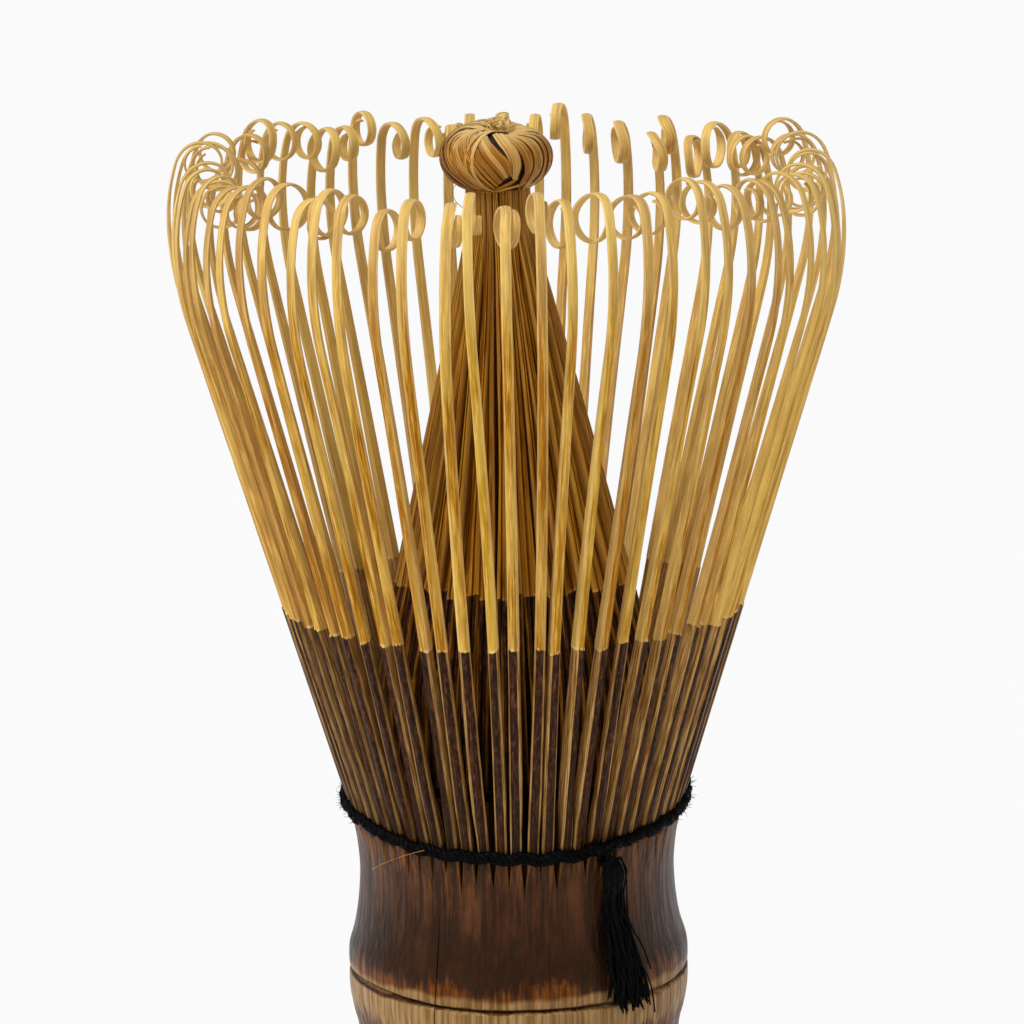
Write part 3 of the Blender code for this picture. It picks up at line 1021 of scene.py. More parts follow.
def guided_strips(shape, draw, guides, count, tuck):
    """Strips shared out evenly between neighbouring guides."""
    smooth = [flowing(guide, 6) for guide in guides]
    for near, far in zip(smooth, smooth[1:]):
        for k in range(count):
            share = (k + draw.uniform(0.2, 0.8)) / count
            points = near + (far - near) * share
            points = points + np.linspace(1, 0, len(points))[:, None] * draw.uniform(-0.12, 0.12)
            lift = 0.06 + draw.uniform(0.0, 0.16)
            width = STRIP_WIDTH * draw.uniform(0.75, 1.25)
            bun_strip(shape, draw, guide_directions(points), lift, width, tuck)


def back_strips(shape, draw, gather, low, high, count):
    """Strips from the dimple over the far side of the bun."""
    for i in range(count):
        angle = math.radians(low + (high - low) * (i + draw.uniform(-0.3, 0.3)) / (count - 1))
        a = unit(gather + np.array((draw.uniform(-0.12, 0.12), 0, draw.uniform(-0.05, 0.08))))
        b = unit(DIMPLE + np.array((draw.uniform(-0.12, 0.12), draw.uniform(-0.12, 0.12), 0)))
        arc = unit(bun_arc(a, b, angle)[::-1])
        lift = draw.uniform(0.0, 0.2)
        bun_strip(shape, draw, arc, lift, STRIP_WIDTH * draw.uniform(0.8, 1.3))


def bun_shade_core(shape):
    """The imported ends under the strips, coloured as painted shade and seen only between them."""
    around, rows = 40, 20
    angles = 2 * math.pi * np.arange(around) / around
    points = []
    for i in range(1, rows):
        polar = math.pi * i / rows
        wide, tall = math.sin(polar), math.cos(polar)
        points += [(wide * math.cos(a), wide * math.sin(a), tall) for a in angles]
    points += [(0, 0, 1), (0, 0, -1)]
    placed, _ = bun_point(np.array(points), np.full(len(points), -0.16))
    faces = []
    for i in range(rows - 2):
        for j in range(around):
            k = (j + 1) % around
            near, far = i * around, (i + 1) * around
            faces.append((near + j, near + k, far + k, far + j))
    top, bottom = len(points) - 2, len(points) - 1
    last = (rows - 2) * around
    for j in range(around):
        k = (j + 1) % around
        faces.append((j, k, top))
        faces.append((last + j, last + k, bottom))
    count = len(points)
    shape.add(placed.tolist(), faces, [1.0] * len(faces), placed.tolist(), [-9.0] * count, 0.0)


def loose_ends(shape, draw):
    """Fine pale ends that spring out of the dimple, and a stray hair on the left."""
    base = bun_point(DIMPLE[None], np.array([0.35]))[0][0]
    plain = (0.0,) * 6
    for i in range(16):
        a = math.radians(22.5 * i + draw.uniform(-20, 20))
        size = draw.uniform(0.35, 0.85)
        t = np.linspace(0, 1, 12)
        turned = draw.uniform(1.0, 1.5) * math.pi * t
        reach = 1.1 * size * np.sin(turned)
        up = size * (1 - np.cos(turned)) * draw.uniform(0.5, 0.9)
        root = base + np.array((draw.uniform(-0.5, 0.5), draw.uniform(-0.4, 0.4), -0.1))
        spine = root + reach[:, None] * radial(a) + up[:, None] * UP
        spine = spine + (draw.uniform(-0.8, 0.8) * t)[:, None] * tangent(a)
        normals = np.cos(turned)[:, None] * UP - np.sin(turned)[:, None] * radial(a)
        across, inward = strip_section(np.full(12, 0.17), 0.09)
        tint, seed = draw.uniform(0.8, 1), draw.random() * 40
        sweep(shape, spine, normals, across, inward, plain, 1.2, tint, seed)
    hair = ((-3.5, -2.4, -2.0), (-3.9, -2.9, -2.7), (-3.6, -3.0, -3.5), (-2.9, -2.9, -4.2))
    tube(shape, flowing(np.array(KNOT_CENTRE) + np.array(hair), 6), 0.03, 4, tint=0.1)


def build_knot(mat, shade_core_mat):
    """The tied tip: a core in painted shade, with strips swept round it from the dimple to two
    gathers.
    """
    draw = random.Random(5)
    core = Shape()
    bun_shade_core(core)
    make_piece("bun_shade_core", core, shade_core_mat, body="tip", sharp=60)
    shape = Shape()
    back_strips(shape, draw, LEFT_GATHER, -62, -168, 26)
    back_strips(shape, draw, RIGHT_GATHER, 62, 168, 26)
    guided_strips(shape, draw, LEFT_GUIDES, 3, 0.22)
    guided_strips(shape, draw, RIGHT_GUIDES, 4, -0.22)
    guided_strips(shape, draw, MIDDLE_GUIDES, 4, -0.1)
    guided_strips(shape, draw, FOOT_GUIDES, 2, 0.1)
    loose_ends(shape, draw)
    bun = make_piece("bun_strips", shape, mat, body="tip", sharp=50)
    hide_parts("tip_knot")


# ---------------------------------------------------------------- the thread


def yarn(shape, line, outward, radius, twist, pitch, sides=6, flat=1.0):
    """Plies wound round each other along a closed line; outward gives a direction across it."""
    line = np.asarray(line, float)
    travelled = distances(line)
    total = travelled[-1] + np.linalg.norm(line[0] - line[-1])
    turns = max(1, round(total / pitch))
    along = unit(np.roll(line, -1, 0) - np.roll(line, 1, 0))
    out = unit(outward - (outward * along).sum(1, keepdims=True) * along)
    side = np.cross(along, out)
    plain = (0.0,) * sides
    for ply in range(PLIES):
        angle = 2 * math.pi * (turns * travelled / total + ply / PLIES)
        wound = flat * np.cos(angle)[:, None] * out + np.sin(angle)[:, None] * side
        slow = 0.14 * np.sin(travelled * 2.1 + ply * 2.0)
        wobble = 1 + slow + 0.12 * np.sin(travelled * 5.3 + ply)
        across, inward = round_section(radius * wobble, sides)
        tint = 0.3 + 0.2 * ply
        sweep(shape, line + twist * wound, out, across, inward, plain, 0.0, tint, ply, closed=True)


def lace_line(count):
    """The outer run's line, dipping a little between the tines, and the way out from it."""
    azimuths = 2 * math.pi * np.arange(count) / count
    rises = lace_rise(azimuths)
    sag = 0.12 * np.sin(azimuths * TINES / 2.0) + 0.08 * np.sin(azimuths * 7 + 1)
    sag = sag + 0.07 * np.sin(azimuths * 23)
    centre = skin_radius(rises) + YARN_SINK
    centre = centre + 0.06 * np.cos(azimuths * TINES)
    out = np.stack((np.cos(azimuths), np.sin(azimuths), 0 * azimuths), 1)
    return centre[:, None] * out + (rises + sag)[:, None] * UP, out


def inner_run_line(count):
    """The level line of the run between the two rows, and the way out from it."""
    azimuths = 2 * math.pi * np.arange(count) / count
    out = np.stack((np.cos(azimuths), np.sin(azimuths), 0 * azimuths), 1)
    return INNER_RUN_RADIUS * out + INNER_RUN_HEIGHT * UP, out


def stitches(shape, draw):
    """Short lengths that dip between the tines from the outer run to the inner one."""
    for k in range(0, TINES, 2):
        azimuth = slit_azimuth(k)
        rise = float(lace_rise(azimuth))
        outside = float(skin_radius(rise)) + 0.2
        stops = (
            (outside, rise + 0.1),
            (outside - 0.6, rise + 0.5),
            (outside - 1.2, rise + 1.1),
            (INNER_RUN_RADIUS, INNER_RUN_HEIGHT - 0.1),
        )
        path = [radial(azimuth) * radius + UP * height for radius, height in stops]
        tube(shape, flowing(path, 4), STITCH_RADIUS, 5, seed=draw.random() * 9)


def thread_piece(name, shape, mat, sharp=70):
    """A piece of the black thread, all of which stays on the handle."""
    return make_piece(name, shape, mat, body="handle", sharp=sharp)


def fuzz(shape, draw, line, out, radius, count, length):
    """Fine cotton hairs standing off a thread."""
    for _ in range(count):
        i = draw.randrange(len(line))
        along = unit(line[(i + 1) % len(line)] - line[i - 1])
        turn = draw.uniform(-1.9, 1.9)
        side = np.cross(along, out[i])
        off = math.cos(turn) * out[i] + math.sin(turn) * side + draw.uniform(-0.9, 0.9) * along
        off = unit(off)
        curl = draw.uniform(-1, 1) * side + draw.uniform(-1, 1) * along
        size = draw.uniform(0.35, 1.0) * length
        t = np.linspace(0, 1, 5)[:, None]
        start = line[i] + off * radius * 0.7
        spine = start + off * size * t + curl * size * 0.45 * t**2
        tube(shape, spine, np.array((0.022, 0.02, 0.018, 0.014, 0.006)), 3, seed=draw.random() * 9)


def build_stray(mat):
    """A fine bamboo fibre caught under the thread at the left."""
    stops = ((-121, 15.8, -1.3), (-128, 15.9, -2.0), (-138, 15.5, -3.2), (-149, 15.1, -4.6))
    path = [radial(math.radians(a)) * radius + UP * height for a, radius, height in stops]
    shape = Shape()
    tube(shape, flowing(path, 6), 0.032, 5, tint=0.6)
    make_piece("stray_fibre", shape, mat, body="handle", sharp=70)


def build_lacing(mat):
    """The two runs of the thread, with the stitches between them and the outer run's hairs."""
    draw = random.Random(11)
    line, out = lace_line(420)
    run = Shape()
    yarn(run, line, out, YARN_RADIUS, YARN_TWIST_RADIUS, YARN_PITCH, flat=YARN_FLATNESS)
    stitches(run, draw)
    piece = thread_piece("thread_outer_run", run, mat)
    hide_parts("lacing_outer_run")
    hairs = Shape()
    fuzz(hairs, draw, line, out, YARN_RADIUS + YARN_TWIST_RADIUS * 0.8, HAIRS, 0.75)
    thread_piece("thread_fuzz", hairs, mat, sharp=180)
    line, out = inner_run_line(260)
    run = Shape()
    yarn(run, line, out, 0.26, 0.22, 2.2)
    piece = thread_piece("thread_inner_run", run, mat)
    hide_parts("lacing_inner_run")


def build_tie(mat):
    """The knot: one thread wound through itself three times."""
    out, side = radial(TIE_AZIMUTH), tangent(TIE_AZIMUTH)
    centre = out * TIE_DISTANCE + UP * TIE_HEIGHT
    shape = Shape()
    t = np.linspace(0, 2 * math.pi, 90, endpoint=False)
    across = 0.80 * (np.sin(t) + 0.9 * np.sin(2 * t))
    high = 0.55 * (np.cos(t) - 0.9 * np.cos(2 * t))
    deep = -0.34 * np.sin(3 * t) - 0.05
    line = centre + across[:, None] * side + high[:, None] * UP + deep[:, None] * out
    yarn(shape, line, np.repeat(out[None], 90, 0), 0.24, 0.19, 1.6, sides=5)
    knot = thread_piece("thread_tie", shape, mat)
    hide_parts("lacing_knot")


def tassel_line(draw, spread, length):
    """One strand from the knot down over the node."""
    lean = TASSEL_LEAN + draw.uniform(-0.05, 0.05)
    stops = []
    for share in (0.0, 0.12, 0.35, 0.6, 0.8, 1.0):
        drop = share * length
        height = TIE_HEIGHT - 0.7 - drop
        wave = draw.uniform(-0.52, 0.52) * (share > 0.1)
        sideways = 0.5 + lean * drop + spread * (0.5 + 0.95 * share**1.3) + wave
        skin = float(skin_radius(height))
        if height > -6:
            skin = max(skin, 15.25)
        radius = skin + 0.42 + draw.uniform(0.0, 0.75) * (0.4 + 0.6 * share)
        stops.append(radial(TIE_AZIMUTH + sideways / radius) * radius + UP * height)
    return flowing(stops, 5)


def build_tassel(mat):
    """The cut ends below the knot, with fuzz on every second strand and three stray ones."""
    draw = random.Random(31)
    shape = Shape()
    for k in range(TASSEL_STRANDS):
        spread = 0.9 * draw.choice((-0.8, -0.5, -0.1, 0.3, 0.9)) + draw.gauss(0, 0.22)
        length = draw.uniform(*TASSEL_LENGTHS)
        line = tassel_line(draw, spread, length)
        radii = np.full(len(line), draw.uniform(0.10, 0.17))
        radii[-2:] *= (0.8, 0.4)
        tube(shape, line, radii, 5, seed=k)
        if k % 2 == 0:
            hairs_out = np.repeat(radial(TIE_AZIMUTH)[None], len(line), 0)
            fuzz(shape, draw, line, hairs_out, 0.12, 9, 0.8)
    for spread, length in ((1.5, 15.0), (1.9, 11.0), (2.3, 14.2)):
        line = tassel_line(draw, spread, length)
        tube(shape, line, 0.07, 4, seed=spread)
    tail = thread_piece("thread_tassel", shape, mat)
    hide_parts("lacing_tail")


# ---------------------------------------------------------------- materials


def colour(red, green, blue):
    """A display colour, 0 to 255, as the linear one that shaders use."""
    found = []
    for value in (red, green, blue):
        c = value / 255
        found.append(c / 12.92 if c <= 0.04045 else ((c + 0.055) / 1.055) ** 2.4)
    return (*found, 1.0)


class Net:
    """Adds nodes to a tree: a number, colour or vector sets a socket, and a socket is linked."""

    def __init__(self, tree):
        self.tree = tree

    def add(self, kind, out=0, settings=None, **inputs):
        node = self.tree.nodes.new(kind)
        for name, value in (settings or {}).items():
            setattr(node, name, value)
        for name, value in inputs.items():
            key = int(name[1:]) if name[0] == "i" and name[1:].isdigit() else name.replace("_", " ")
            self.put(node.inputs[key], value)
        return node.outputs[out]

    def put(self, socket, value):
        if isinstance(value, bpy.types.NodeSocket):
            self.tree.links.new(value, socket)
        else:
            socket.default_value = value

    def attribute(self, name, out):
        return self.add("ShaderNodeAttribute", out, {"attribute_name": name})

    def plus(self, a, b):
        return self.add("ShaderNodeMath", 0, {"operation": "ADD"}, i0=a, i1=b)

    def times(self, a, b):
        return self.add("ShaderNodeMath", 0, {"operation": "MULTIPLY"}, i0=a, i1=b)

    def mix(self, share, a, b):
        return self.add("ShaderNodeMix", 2, {"data_type": "RGBA"}, i0=share, i6=a, i7=b)

    def spread(self, value, low, high, to_low=0.0, to_high=1.0):
        """A soft step in the value from low to high, or down if high is the lower."""
        node = self.tree.nodes.new("ShaderNodeMapRange")
        node.interpolation_type = "SMOOTHSTEP"
        for index, v in enumerate((value, low, high, to_low, to_high)):
            self.put(node.inputs[index], v)
        return node.outputs[0]

    def noise(self, vector, scale, detail, rough):
        inputs = {"Vector": vector, "Scale": scale, "Detail": detail, "Roughness": rough}
        return self.add("ShaderNodeTexNoise", **inputs)

    def stretch(self, vector, x, y, z):
        settings = {"operation": "MULTIPLY"}
        return self.add("ShaderNodeVectorMath", 0, settings, i0=vector, i1=(x, y, z))

    def apart(self, vector):
        node = self.tree.nodes.new("ShaderNodeSeparateXYZ")
        self.put(node.inputs[0], vector)
        return node.outputs


def new_group(name, inputs, outputs):
    """A shared node group, the net that adds its nodes, and its inside sockets."""
    tree = bpy.data.node_groups.new(name, "ShaderNodeTree")
    for label, kind, value in inputs:
        socket = tree.interface.new_socket(label, in_out="INPUT", socket_type=kind)
        if value is not None:
            socket.default_value = value
    for label, kind in outputs:
        tree.interface.new_socket(label, in_out="OUTPUT", socket_type=kind)
    source = tree.nodes.new("NodeGroupInput")
    sink = tree.nodes.new("NodeGroupOutput")
    return tree, Net(tree), source.outputs, sink.inputs


def fibre_group():
    """Bamboo's long fibres, in millimetres along the third axis of its grain."""
    tree, net, given, out = new_group(
        "bamboo_fibre",
        [("Grain", "NodeSocketVector", None), ("Fineness", "NodeSocketFloat", 6.0)],
        [("Streak", "NodeSocketFloat"), ("Broad", "NodeSocketFloat"), ("Pore", "NodeSocketFloat")],
    )
    long = net.stretch(given["Grain"], 1.0, 1.0, 0.045)
    fine = net.noise(long, given["Fineness"], 3.0, 0.6)
    broad = net.noise(net.stretch(given["Grain"], 1.0, 1.0, 0.10), 0.9, 2.0, 0.5)
    pores = net.noise(net.stretch(given["Grain"], 9.0, 9.0, 0.55), 1.0, 1.0, 0.4)
    net.put(out["Streak"], net.spread(fine, 0.34, 0.68))
    net.put(out["Broad"], net.spread(broad, 0.32, 0.68))
    net.put(out["Pore"], net.spread(pores, 0.60, 0.72))
    return tree


def smoked_group():
    """The dark smoked skin: brown-black with redder and greyer streaks and fine scratches."""
    tree, net, given, out = new_group(
        "smoked_skin",
        [
            ("Grain", "NodeSocketVector", None),
            ("Streak", "NodeSocketFloat", 0.5),
            ("Broad", "NodeSocketFloat", 0.5),
            ("Speckle", "NodeSocketFloat", 1.0),
        ],
        [("Color", "NodeSocketColor"), ("Worn", "NodeSocketFloat")],
    )
    deep, warm, grey = colour(24, 11, 6), colour(92, 48, 26), colour(60, 44, 34)
    base = net.mix(given["Streak"], deep, warm)
    patches = net.noise(net.stretch(given["Grain"], 0.55, 0.55, 0.16), 1.0, 3.0, 0.6)
    base = net.mix(net.spread(patches, 0.50, 0.75, 0.0, 0.45), base, grey)
    speck = net.noise(net.stretch(given["Grain"], 3.6, 3.6, 1.3), 1.0, 3.0, 0.7)
    dots = net.times(given["Speckle"], net.spread(speck, 0.48, 0.60, 0.0, 0.85))
    base = net.mix(dots, base, colour(15, 7, 4))
    flecks = net.times(given["Speckle"], net.spread(speck, 0.44, 0.32, 0.0, 0.55))
    base = net.mix(flecks, base, colour(134, 84, 50))
    scratches = net.noise(net.stretch(given["Grain"], 7.0, 7.0, 0.25), 1.0, 2.0, 0.7)
    worn = net.spread(scratches, 0.66, 0.76)
    base = net.mix(net.times(worn, 0.30), base, colour(128, 84, 52))
    base = net.mix(net.spread(given["Broad"], 0, 1, 0.0, 0.35), base, colour(22, 13, 11))
    net.put(out["Color"], base)
    net.put(out["Worn"], worn)
    return tree


def new_material(name):
    """A material, the net that adds its nodes, and its shader."""
    mat = bpy.data.materials.new(name)
    mat.use_nodes = True
    shader = mat.node_tree.nodes["Principled BSDF"]
    return mat, Net(mat.node_tree), shader


def use_group(net, group, **inputs):
    """A shared node group placed in a material with its own values."""
    node = net.tree.nodes.new("ShaderNodeGroup")
    node.node_tree = group
    for name, value in inputs.items():
        net.put(node.inputs[name], value)
    return node.outputs


def bump(net, shader, height, distance, strength):
    """Fine relief, with its distance in metres."""
    normal = net.add("ShaderNodeBump", Strength=strength, Distance=distance, Height=height)
    net.put(shader.inputs["Normal"], normal)


def waxy_gloss(shader, level):
    """Bamboo's low warm shine."""
    shader.inputs["Specular IOR Level"].default_value = level
    shader.inputs["Specular Tint"].default_value = SHEEN


OUTER_TONES = {
    "deep": (146, 90, 6),
    "mid": (222, 162, 42),
    "light": (250, 210, 106),
    "rust": (156, 86, 8),
    "straw": (222, 180, 58),
    "pore": (124, 74, 8),
    "pale": (255, 230, 158),
    "flank_deep": (122, 80, 34),
    "flank": (208, 164, 98),
    "root": (92, 52, 20),
    "near_black_and_score_shade": (34, 18, 10),
}
# Darker copies of the outer tones, as painted shade for the cone that stands inside the outer row.
INNER_PAINTED_SHADE_TONES = {
    "deep": (104, 54, 0),
    "mid": (168, 104, 2),
    "light": (222, 154, 38),
    "rust": (110, 56, 4),
    "straw": (174, 128, 34),
    "pore": (76, 40, 2),
    "pale": (222, 176, 96),
    "flank_deep": (74, 42, 6),
    "flank": (164, 108, 28),
    "root": (34, 18, 6),
    "near_black_and_score_shade": (14, 7, 3),
}
SHEEN = (1.0, 0.70, 0.42, 1.0)


def shaved_wood(net, fibres, rise, tint, cut, tones):
    """Gold that is redder or paler from tine to tine and paler at the curls, with painted
    highlights that make the cut sides and the brightest fibres paler.
    """
    gold = net.mix(fibres["Streak"], tones["deep"], tones["mid"])
    gold = net.mix(net.spread(fibres["Broad"], 0.3, 1.0, 0.0, 0.45), gold, tones["light"])
    gold = net.mix(net.spread(tint, 0.0, 0.45, 0.45, 0.0), gold, tones["rust"])
    gold = net.mix(net.spread(tint, 0.65, 1.0, 0.0, 0.35), gold, tones["straw"])
    gold = net.mix(net.times(fibres["Pore"], 0.24), gold, tones["pore"])
    # Painted highlight: the cut sides are made paler, as edges that catch the light.
    gold = net.mix(net.times(cut, 0.28), gold, tones["pale"])
    gold = net.mix(net.spread(rise, 24.0, 40.0, 0.0, 0.30), gold, tones["pale"])
    # Painted highlight along the brightest fibre streaks.
    painted_streak_highlight = net.spread(fibres["Streak"], 0.72, 1.0)
    return net.mix(net.times(painted_streak_highlight, 0.20), gold, tones["pale"])


def smoked_root(net, grain, fibres, smoked, rise, cut, tones):
    """Smoked skin over split flanks, both darker toward the thread."""
    flank = net.mix(fibres["Streak"], tones["flank_deep"], tones["flank"])
    flank = net.mix(net.spread(rise, -20.5, -12.0, 0.30, 0.0), flank, tones["root"])
    dark = use_group(net, smoked, Grain=grain, Streak=fibres["Streak"], Broad=fibres["Broad"])
    skin = net.mix(net.spread(rise, -20.0, -7.0, 0.6, 0.0), dark["Color"], tones["near_black_and_score_shade"])
    return net.mix(cut, skin, flank)


def tine_material(name, fibre, smoked, tones):
    """Split bamboo: golden where it was shaved, smoked skin left on below a ragged line."""
    mat, net, shader = new_material(name)
    tones = {key: colour(*value) for key, value in tones.items()}
    grain = net.attribute("grain", 1)
    rise = net.attribute("rise", 2)
    tint = net.attribute("tint", 2)
    cut = net.attribute("cut", 2)
    fibres = use_group(net, fibre, Grain=grain, Fineness=7.0)
    gold = shaved_wood(net, fibres, rise, tint, cut, tones)
    below = smoked_root(net, grain, fibres, smoked, rise, cut, tones)
    ragged = net.noise(net.stretch(grain, 5.0, 1.0, 0.6), 1.0, 2.0, 0.6)
    line = net.plus(rise, net.spread(ragged, 0.2, 0.8, -0.09, 0.09))
    above = net.spread(line, -0.05, 0.05)
    # Just above the skin line: a painted highlight on the ragged edge of the step where the skin
    # was shaved off.
    frayed_step_highlight = net.times(net.spread(line, 0.30, 0.12), net.spread(ragged, 0.45, 0.6))
    gold = net.mix(net.times(frayed_step_highlight, 0.5), gold, tones["pale"])
    base = net.mix(above, below, gold)
    # Painted shade on the floors of the scores down the inner tines.
    base = net.mix(net.spread(cut, -0.2, -0.8, 0.0, 0.50), base, tones["near_black_and_score_shade"])
    net.put(shader.inputs["Base Color"], base)
    net.put(shader.inputs["Roughness"], net.spread(fibres["Streak"], 0, 1, 0.46, 0.30))
    waxy_gloss(shader, 0.16)
    bump(net, shader, fibres["Streak"], 0.00004, 0.7)
    return mat


def strip_material(fibre):
    """The thinnest strips of the tied tip, with dark lines along their edges as painted shade where
    they tuck under each other, and a painted highlight toward the top.
    """
    mat, net, shader = new_material("tip_strips")
    grain = net.attribute("grain", 1)
    tint = net.attribute("tint", 2)
    cut = net.attribute("cut", 2)
    rise = net.attribute("rise", 2)
    fibres = use_group(net, fibre, Grain=grain, Fineness=9.0)
    base = net.mix(fibres["Streak"], colour(134, 80, 14), colour(206, 148, 56))
    base = net.mix(net.spread(tint, 0.0, 0.5, 0.6, 0.0), base, colour(140, 80, 20))
    base = net.mix(net.spread(tint, 0.6, 1.0, 0.0, 0.45), base, colour(236, 196, 122))
    # Painted highlight: paler toward the top of the bun.
    base = net.mix(net.spread(rise, 0.25, 1.0, 0.0, 0.62), base, colour(248, 216, 144))
    # Painted shade: dark lines on the strips' cut edges, where one tucks under the next.
    base = net.mix(net.times(cut, 0.85), base, colour(72, 32, 4))
    net.put(shader.inputs["Base Color"], base)
    net.put(shader.inputs["Roughness"], net.spread(fibres["Streak"], 0, 1, 0.48, 0.34))
    waxy_gloss(shader, 0.35)
    bump(net, shader, fibres["Streak"], 0.00003, 0.6)
    return mat


def shade_core_material(fibre):
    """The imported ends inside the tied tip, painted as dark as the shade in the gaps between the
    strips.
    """
    mat, net, shader = new_material("tip_core_painted_shade")
    grain = net.attribute("grain", 1)
    fibres = use_group(net, fibre, Grain=grain, Fineness=5.0)
    # Painted shade: near-black brown, so the core reads as the shadow between the strips.
    base = net.mix(fibres["Streak"], colour(26, 12, 5), colour(60, 32, 12))
    net.put(shader.inputs["Base Color"], base)
    net.put(shader.inputs["Roughness"], net.spread(fibres["Broad"], 0, 1, 0.6, 0.8))
    bump(net, shader, fibres["Streak"], 0.0001, 0.8)
    return mat


def upper_skin(net, skin, grain, height, fringe):
    """Above the node: clouded smoked skin, with warm streaks among the slits."""
    cloud = net.noise(net.stretch(grain, 0.42, 0.42, 0.13), 1.0, 4.0, 0.65)
    base = net.mix(net.spread(cloud, 0.52, 0.72, 0.0, 0.55), skin, colour(104, 60, 36))
    base = net.mix(net.spread(cloud, 0.46, 0.30, 0.0, 0.6), base, colour(26, 13, 8))
    streaks = net.times(net.spread(height, -7.5, -2.6), net.spread(fringe, 0.50, 0.62))
    return net.mix(net.times(streaks, 0.7), base, colour(122, 74, 34))


def scorched_skin(net, base, level, burnt):
    """Charred above the node, and burnt orange-brown down to it."""
    charred = net.times(net.spread(level, -6.0, -11.0), net.spread(level, -14.8, -13.4))
    base = net.mix(net.times(charred, 0.72), base, colour(30, 13, 6))
    near_node = net.times(net.spread(level, -13.2, -14.9), net.spread(level, -19.5, -17.0))
    return net.mix(near_node, base, burnt)


def pale_node(net, base, grain, height, streak, fringe):
    """The pale lip above the groove and the pale band under it."""
    wander = net.noise(net.stretch(grain, 0.35, 0.35, 0.35), 1.0, 1.0, 0.5)
    exact = net.plus(height, net.spread(wander, 0.2, 0.8, -0.25, 0.25))
    pale = net.mix(streak, colour(122, 88, 48), colour(172, 138, 90))
    lip = net.times(net.spread(exact, -14.4, -15.0), net.spread(exact, -15.7, -15.45))
    base = net.mix(net.times(lip, 0.75), base, pale)
    uneven = net.plus(exact, net.spread(fringe, 0.3, 0.7, -0.5, 0.5))
    band = net.times(net.spread(exact, -15.75, -15.95), net.spread(uneven, -19.6, -18.2))
    return net.mix(net.times(band, 0.92), base, pale)


def lower_skin(net, base, grain, height, level, streak, burnt):
    """Below the node: a reddish zone, then mottled skin down to the foot."""
    red = net.mix(streak, colour(70, 34, 20), colour(116, 66, 38))
    zone = net.times(net.spread(level, -18.0, -19.4), net.spread(level, -25.0, -21.0))
    base = net.mix(net.times(zone, 0.8), base, red)
    mottle = net.noise(net.stretch(grain, 0.28, 0.28, 0.09), 1.0, 4.0, 0.65)
    lower = net.times(net.spread(height, -19.0, -24.0), net.spread(mottle, 0.50, 0.66))
    return net.mix(net.times(lower, 0.75), base, burnt)


def cut_wood(net, grain, streak):
    """Cut faces: pale inside the culm, brown at the slits, and nearly black deep in them as painted
    shade.
    """
    slit = net.mix(streak, colour(96, 56, 24), colour(158, 104, 50))
    inside = net.mix(streak, colour(120, 84, 44), colour(184, 142, 88))
    level = net.stretch(grain, 1, 1, 0)
    radius = net.add("ShaderNodeVectorMath", 1, {"operation": "LENGTH"}, i0=level)
    # Painted shade: nearly black deep in the slits, below the skin's radius.
    slit = net.mix(net.spread(radius, 14.5, 14.1, 0.0, 0.85), slit, colour(20, 10, 5))
    return net.mix(net.spread(radius, 13.2, 12.4), slit, inside)


def handle_material(fibre, smoked):
    """Smoked skin that turns orange-brown, then pale, at the node."""
    mat, net, shader = new_material("smoked_culm")
    grain = net.attribute("grain", 1)
    cut = net.attribute("cut", 2)
    height = net.apart(grain)[2]
    fibres = use_group(net, fibre, Grain=grain, Fineness=2.6)
    streak = fibres["Streak"]
    calm = net.spread(streak, 0.0, 1.0, 0.15, 0.72)
    skin = use_group(net, smoked, Grain=grain, Streak=calm, Broad=fibres["Broad"], Speckle=0.22)
    wander = net.noise(net.stretch(grain, 0.22, 0.22, 0.22), 1.0, 2.0, 0.5)
    fringe = net.noise(net.stretch(grain, 1.5, 1.5, 0.06), 1.0, 3.0, 0.6)
    level = net.plus(height, net.spread(wander, 0.2, 0.8, -0.9, 0.9))
    level = net.plus(level, net.spread(fringe, 0.25, 0.75, -0.9, 0.9))
    burnt = net.mix(streak, colour(64, 28, 4), colour(122, 66, 14))
    base = upper_skin(net, skin["Color"], grain, height, fringe)
    base = scorched_skin(net, base, level, burnt)
    base = pale_node(net, base, grain, height, streak, fringe)
    base = lower_skin(net, base, grain, height, level, streak, burnt)
    groove = net.times(net.spread(height, -15.98, -15.74), net.spread(height, -15.42, -15.66))
    base = net.mix(net.times(groove, 0.9), base, colour(34, 18, 10))
    net.put(shader.inputs["Base Color"], net.mix(cut, base, cut_wood(net, grain, streak)))
    gloss = net.spread(streak, 0, 1, 0.46, 0.34)
    net.put(shader.inputs["Roughness"], net.plus(gloss, net.times(cut, 0.3)))
    waxy_gloss(shader, 0.24)
    ridges = net.plus(streak, net.times(skin["Worn"], -0.5))
    bump(net, shader, ridges, 0.00006, 0.55)
    return mat


def thread_material():
    """Black cotton with a little grey lint."""
    mat, net, shader = new_material("black_cotton")
    grain = net.attribute("grain", 1)
    tint = net.attribute("tint", 2)
    lint = net.noise(net.stretch(grain, 3.0, 3.0, 3.0), 1.0, 4.0, 0.7)
    base = net.mix(net.spread(lint, 0.35, 0.7), colour(1, 1, 1), colour(9, 8, 8))
    base = net.mix(net.times(tint, 0.2), base, colour(5, 5, 5))
    net.put(shader.inputs["Base Color"], base)
    net.put(shader.inputs["Roughness"], net.spread(lint, 0.3, 0.7, 0.7, 0.42))
    shader.inputs["Specular IOR Level"].default_value = 0.05
    bump(net, shader, lint, 0.00008, 0.7)
    return mat


# ---------------------------------------------------------------- the studio


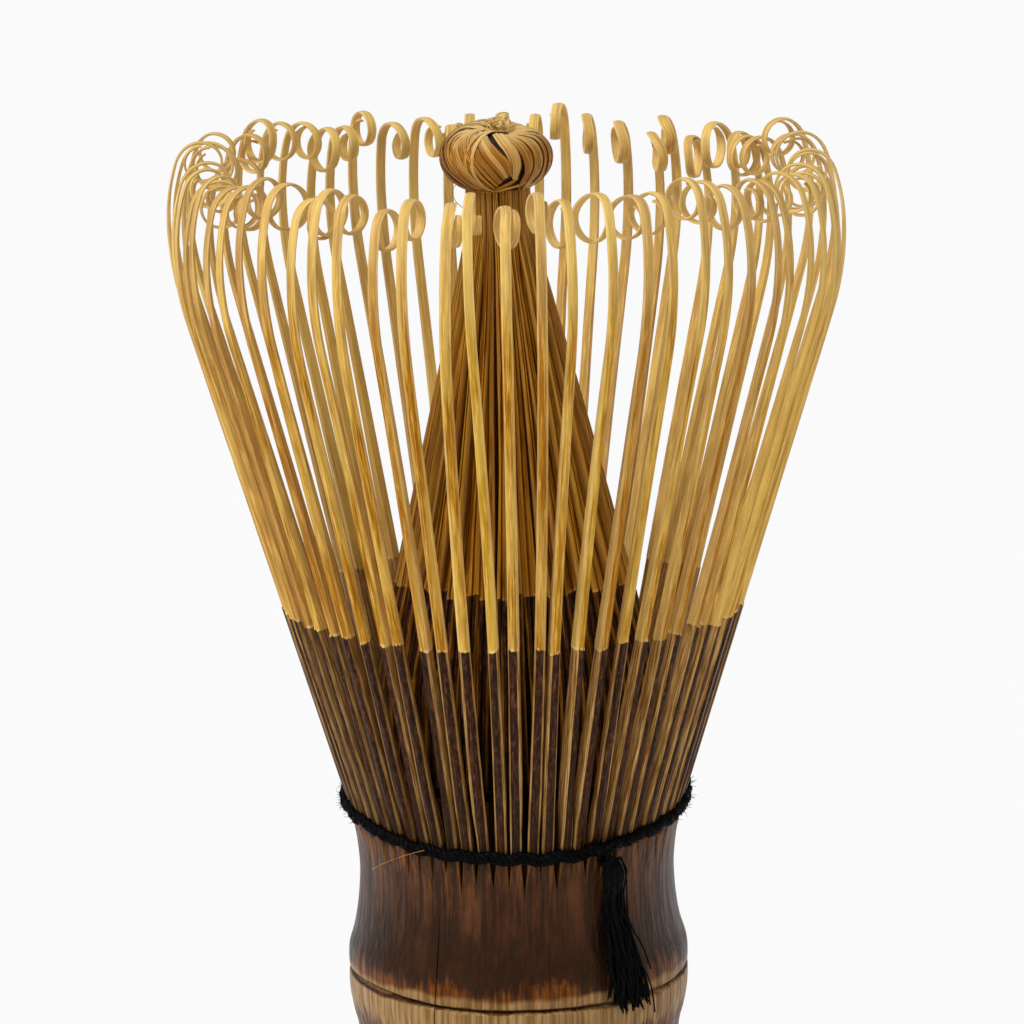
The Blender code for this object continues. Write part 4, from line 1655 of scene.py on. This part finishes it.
def build_stage():
    """A plain pale floor and a plain white sky."""
    mat, _, shader = new_material("white_floor")
    shader.inputs["Base Color"].default_value = (0.93, 0.93, 0.935, 1.0)
    shader.inputs["Roughness"].default_value = 0.9
    shader.inputs["Specular IOR Level"].default_value = 0.1
    bm = bmesh.new()
    bmesh.ops.create_circle(bm, cap_ends=True, segments=96, radius=FLOOR_RADIUS)
    mesh = bpy.data.meshes.new("floor")
    bm.to_mesh(mesh)
    bm.free()
    mesh.materials.append(mat)
    floor = place("floor", mesh)
    world = bpy.data.worlds.new("studio")
    world.use_nodes = True
    sky = world.node_tree.nodes["Background"]
    sky.inputs["Color"].default_value = (1.0, 1.0, 1.0, 1.0)
    sky.inputs["Strength"].default_value = SKY_STRENGTH
    bpy.context.scene.world = world


def sun(name, azimuth, elevation, energy, spread):
    """A wide soft light, even over the whole floor, from an azimuth round the whisk."""
    data = bpy.data.lights.new(name, "SUN")
    data.energy = energy
    data.angle = math.radians(spread)
    light = place(name, data)
    a, e = math.radians(azimuth), math.radians(elevation)
    back = Vector((math.cos(a) * math.cos(e), math.sin(a) * math.cos(e), math.sin(e)))
    light.rotation_mode = "QUATERNION"
    light.rotation_quaternion = back.to_track_quat("Z", "Y")


def build_lights():
    """A broad key light from the front left and a faint fill from the front right."""
    sun("key", azimuth=-146, elevation=50, energy=2.25, spread=22)
    sun("fill", azimuth=-30, elevation=42, energy=0.25, spread=50)


def build_camera():
    """A long lens that looks slightly down at the whisk from the front."""
    data = bpy.data.cameras.new("view")
    data.sensor_width = 36.0
    data.lens = VIEW_LENS
    data.clip_start = 0.01
    data.clip_end = 50.0
    camera = place("view", data)
    pitch = Quaternion((1, 0, 0), math.radians(90 - VIEW_DOWN))
    roll = Quaternion((0, 0, 1), math.radians(VIEW_ROLL))
    camera.location = (0.0, -VIEW_DISTANCE, THREAD_HEIGHT + VIEW_RISE)
    camera.rotation_mode = "QUATERNION"
    camera.rotation_quaternion = pitch @ roll
    bpy.context.scene.camera = camera
    bpy.context.scene.view_settings.view_transform = "Standard"


def build_whisk():
    """Every piece, from the handle to the tassel."""
    fibre, smoked = fibre_group(), smoked_group()
    build_handle(handle_material(fibre, smoked))
    build_outer(tine_material("outer_bamboo", fibre, smoked, OUTER_TONES))
    build_inner(tine_material("inner_bamboo_painted_shade", fibre, smoked, INNER_PAINTED_SHADE_TONES))
    strips = strip_material(fibre)
    build_knot(strips, shade_core_material(fibre))
    build_stray(strips)
    cotton = thread_material()
    build_lacing(cotton)
    build_tie(cotton)
    build_tassel(cotton)


build_camera()
build_stage()
build_lights()
build_whisk()
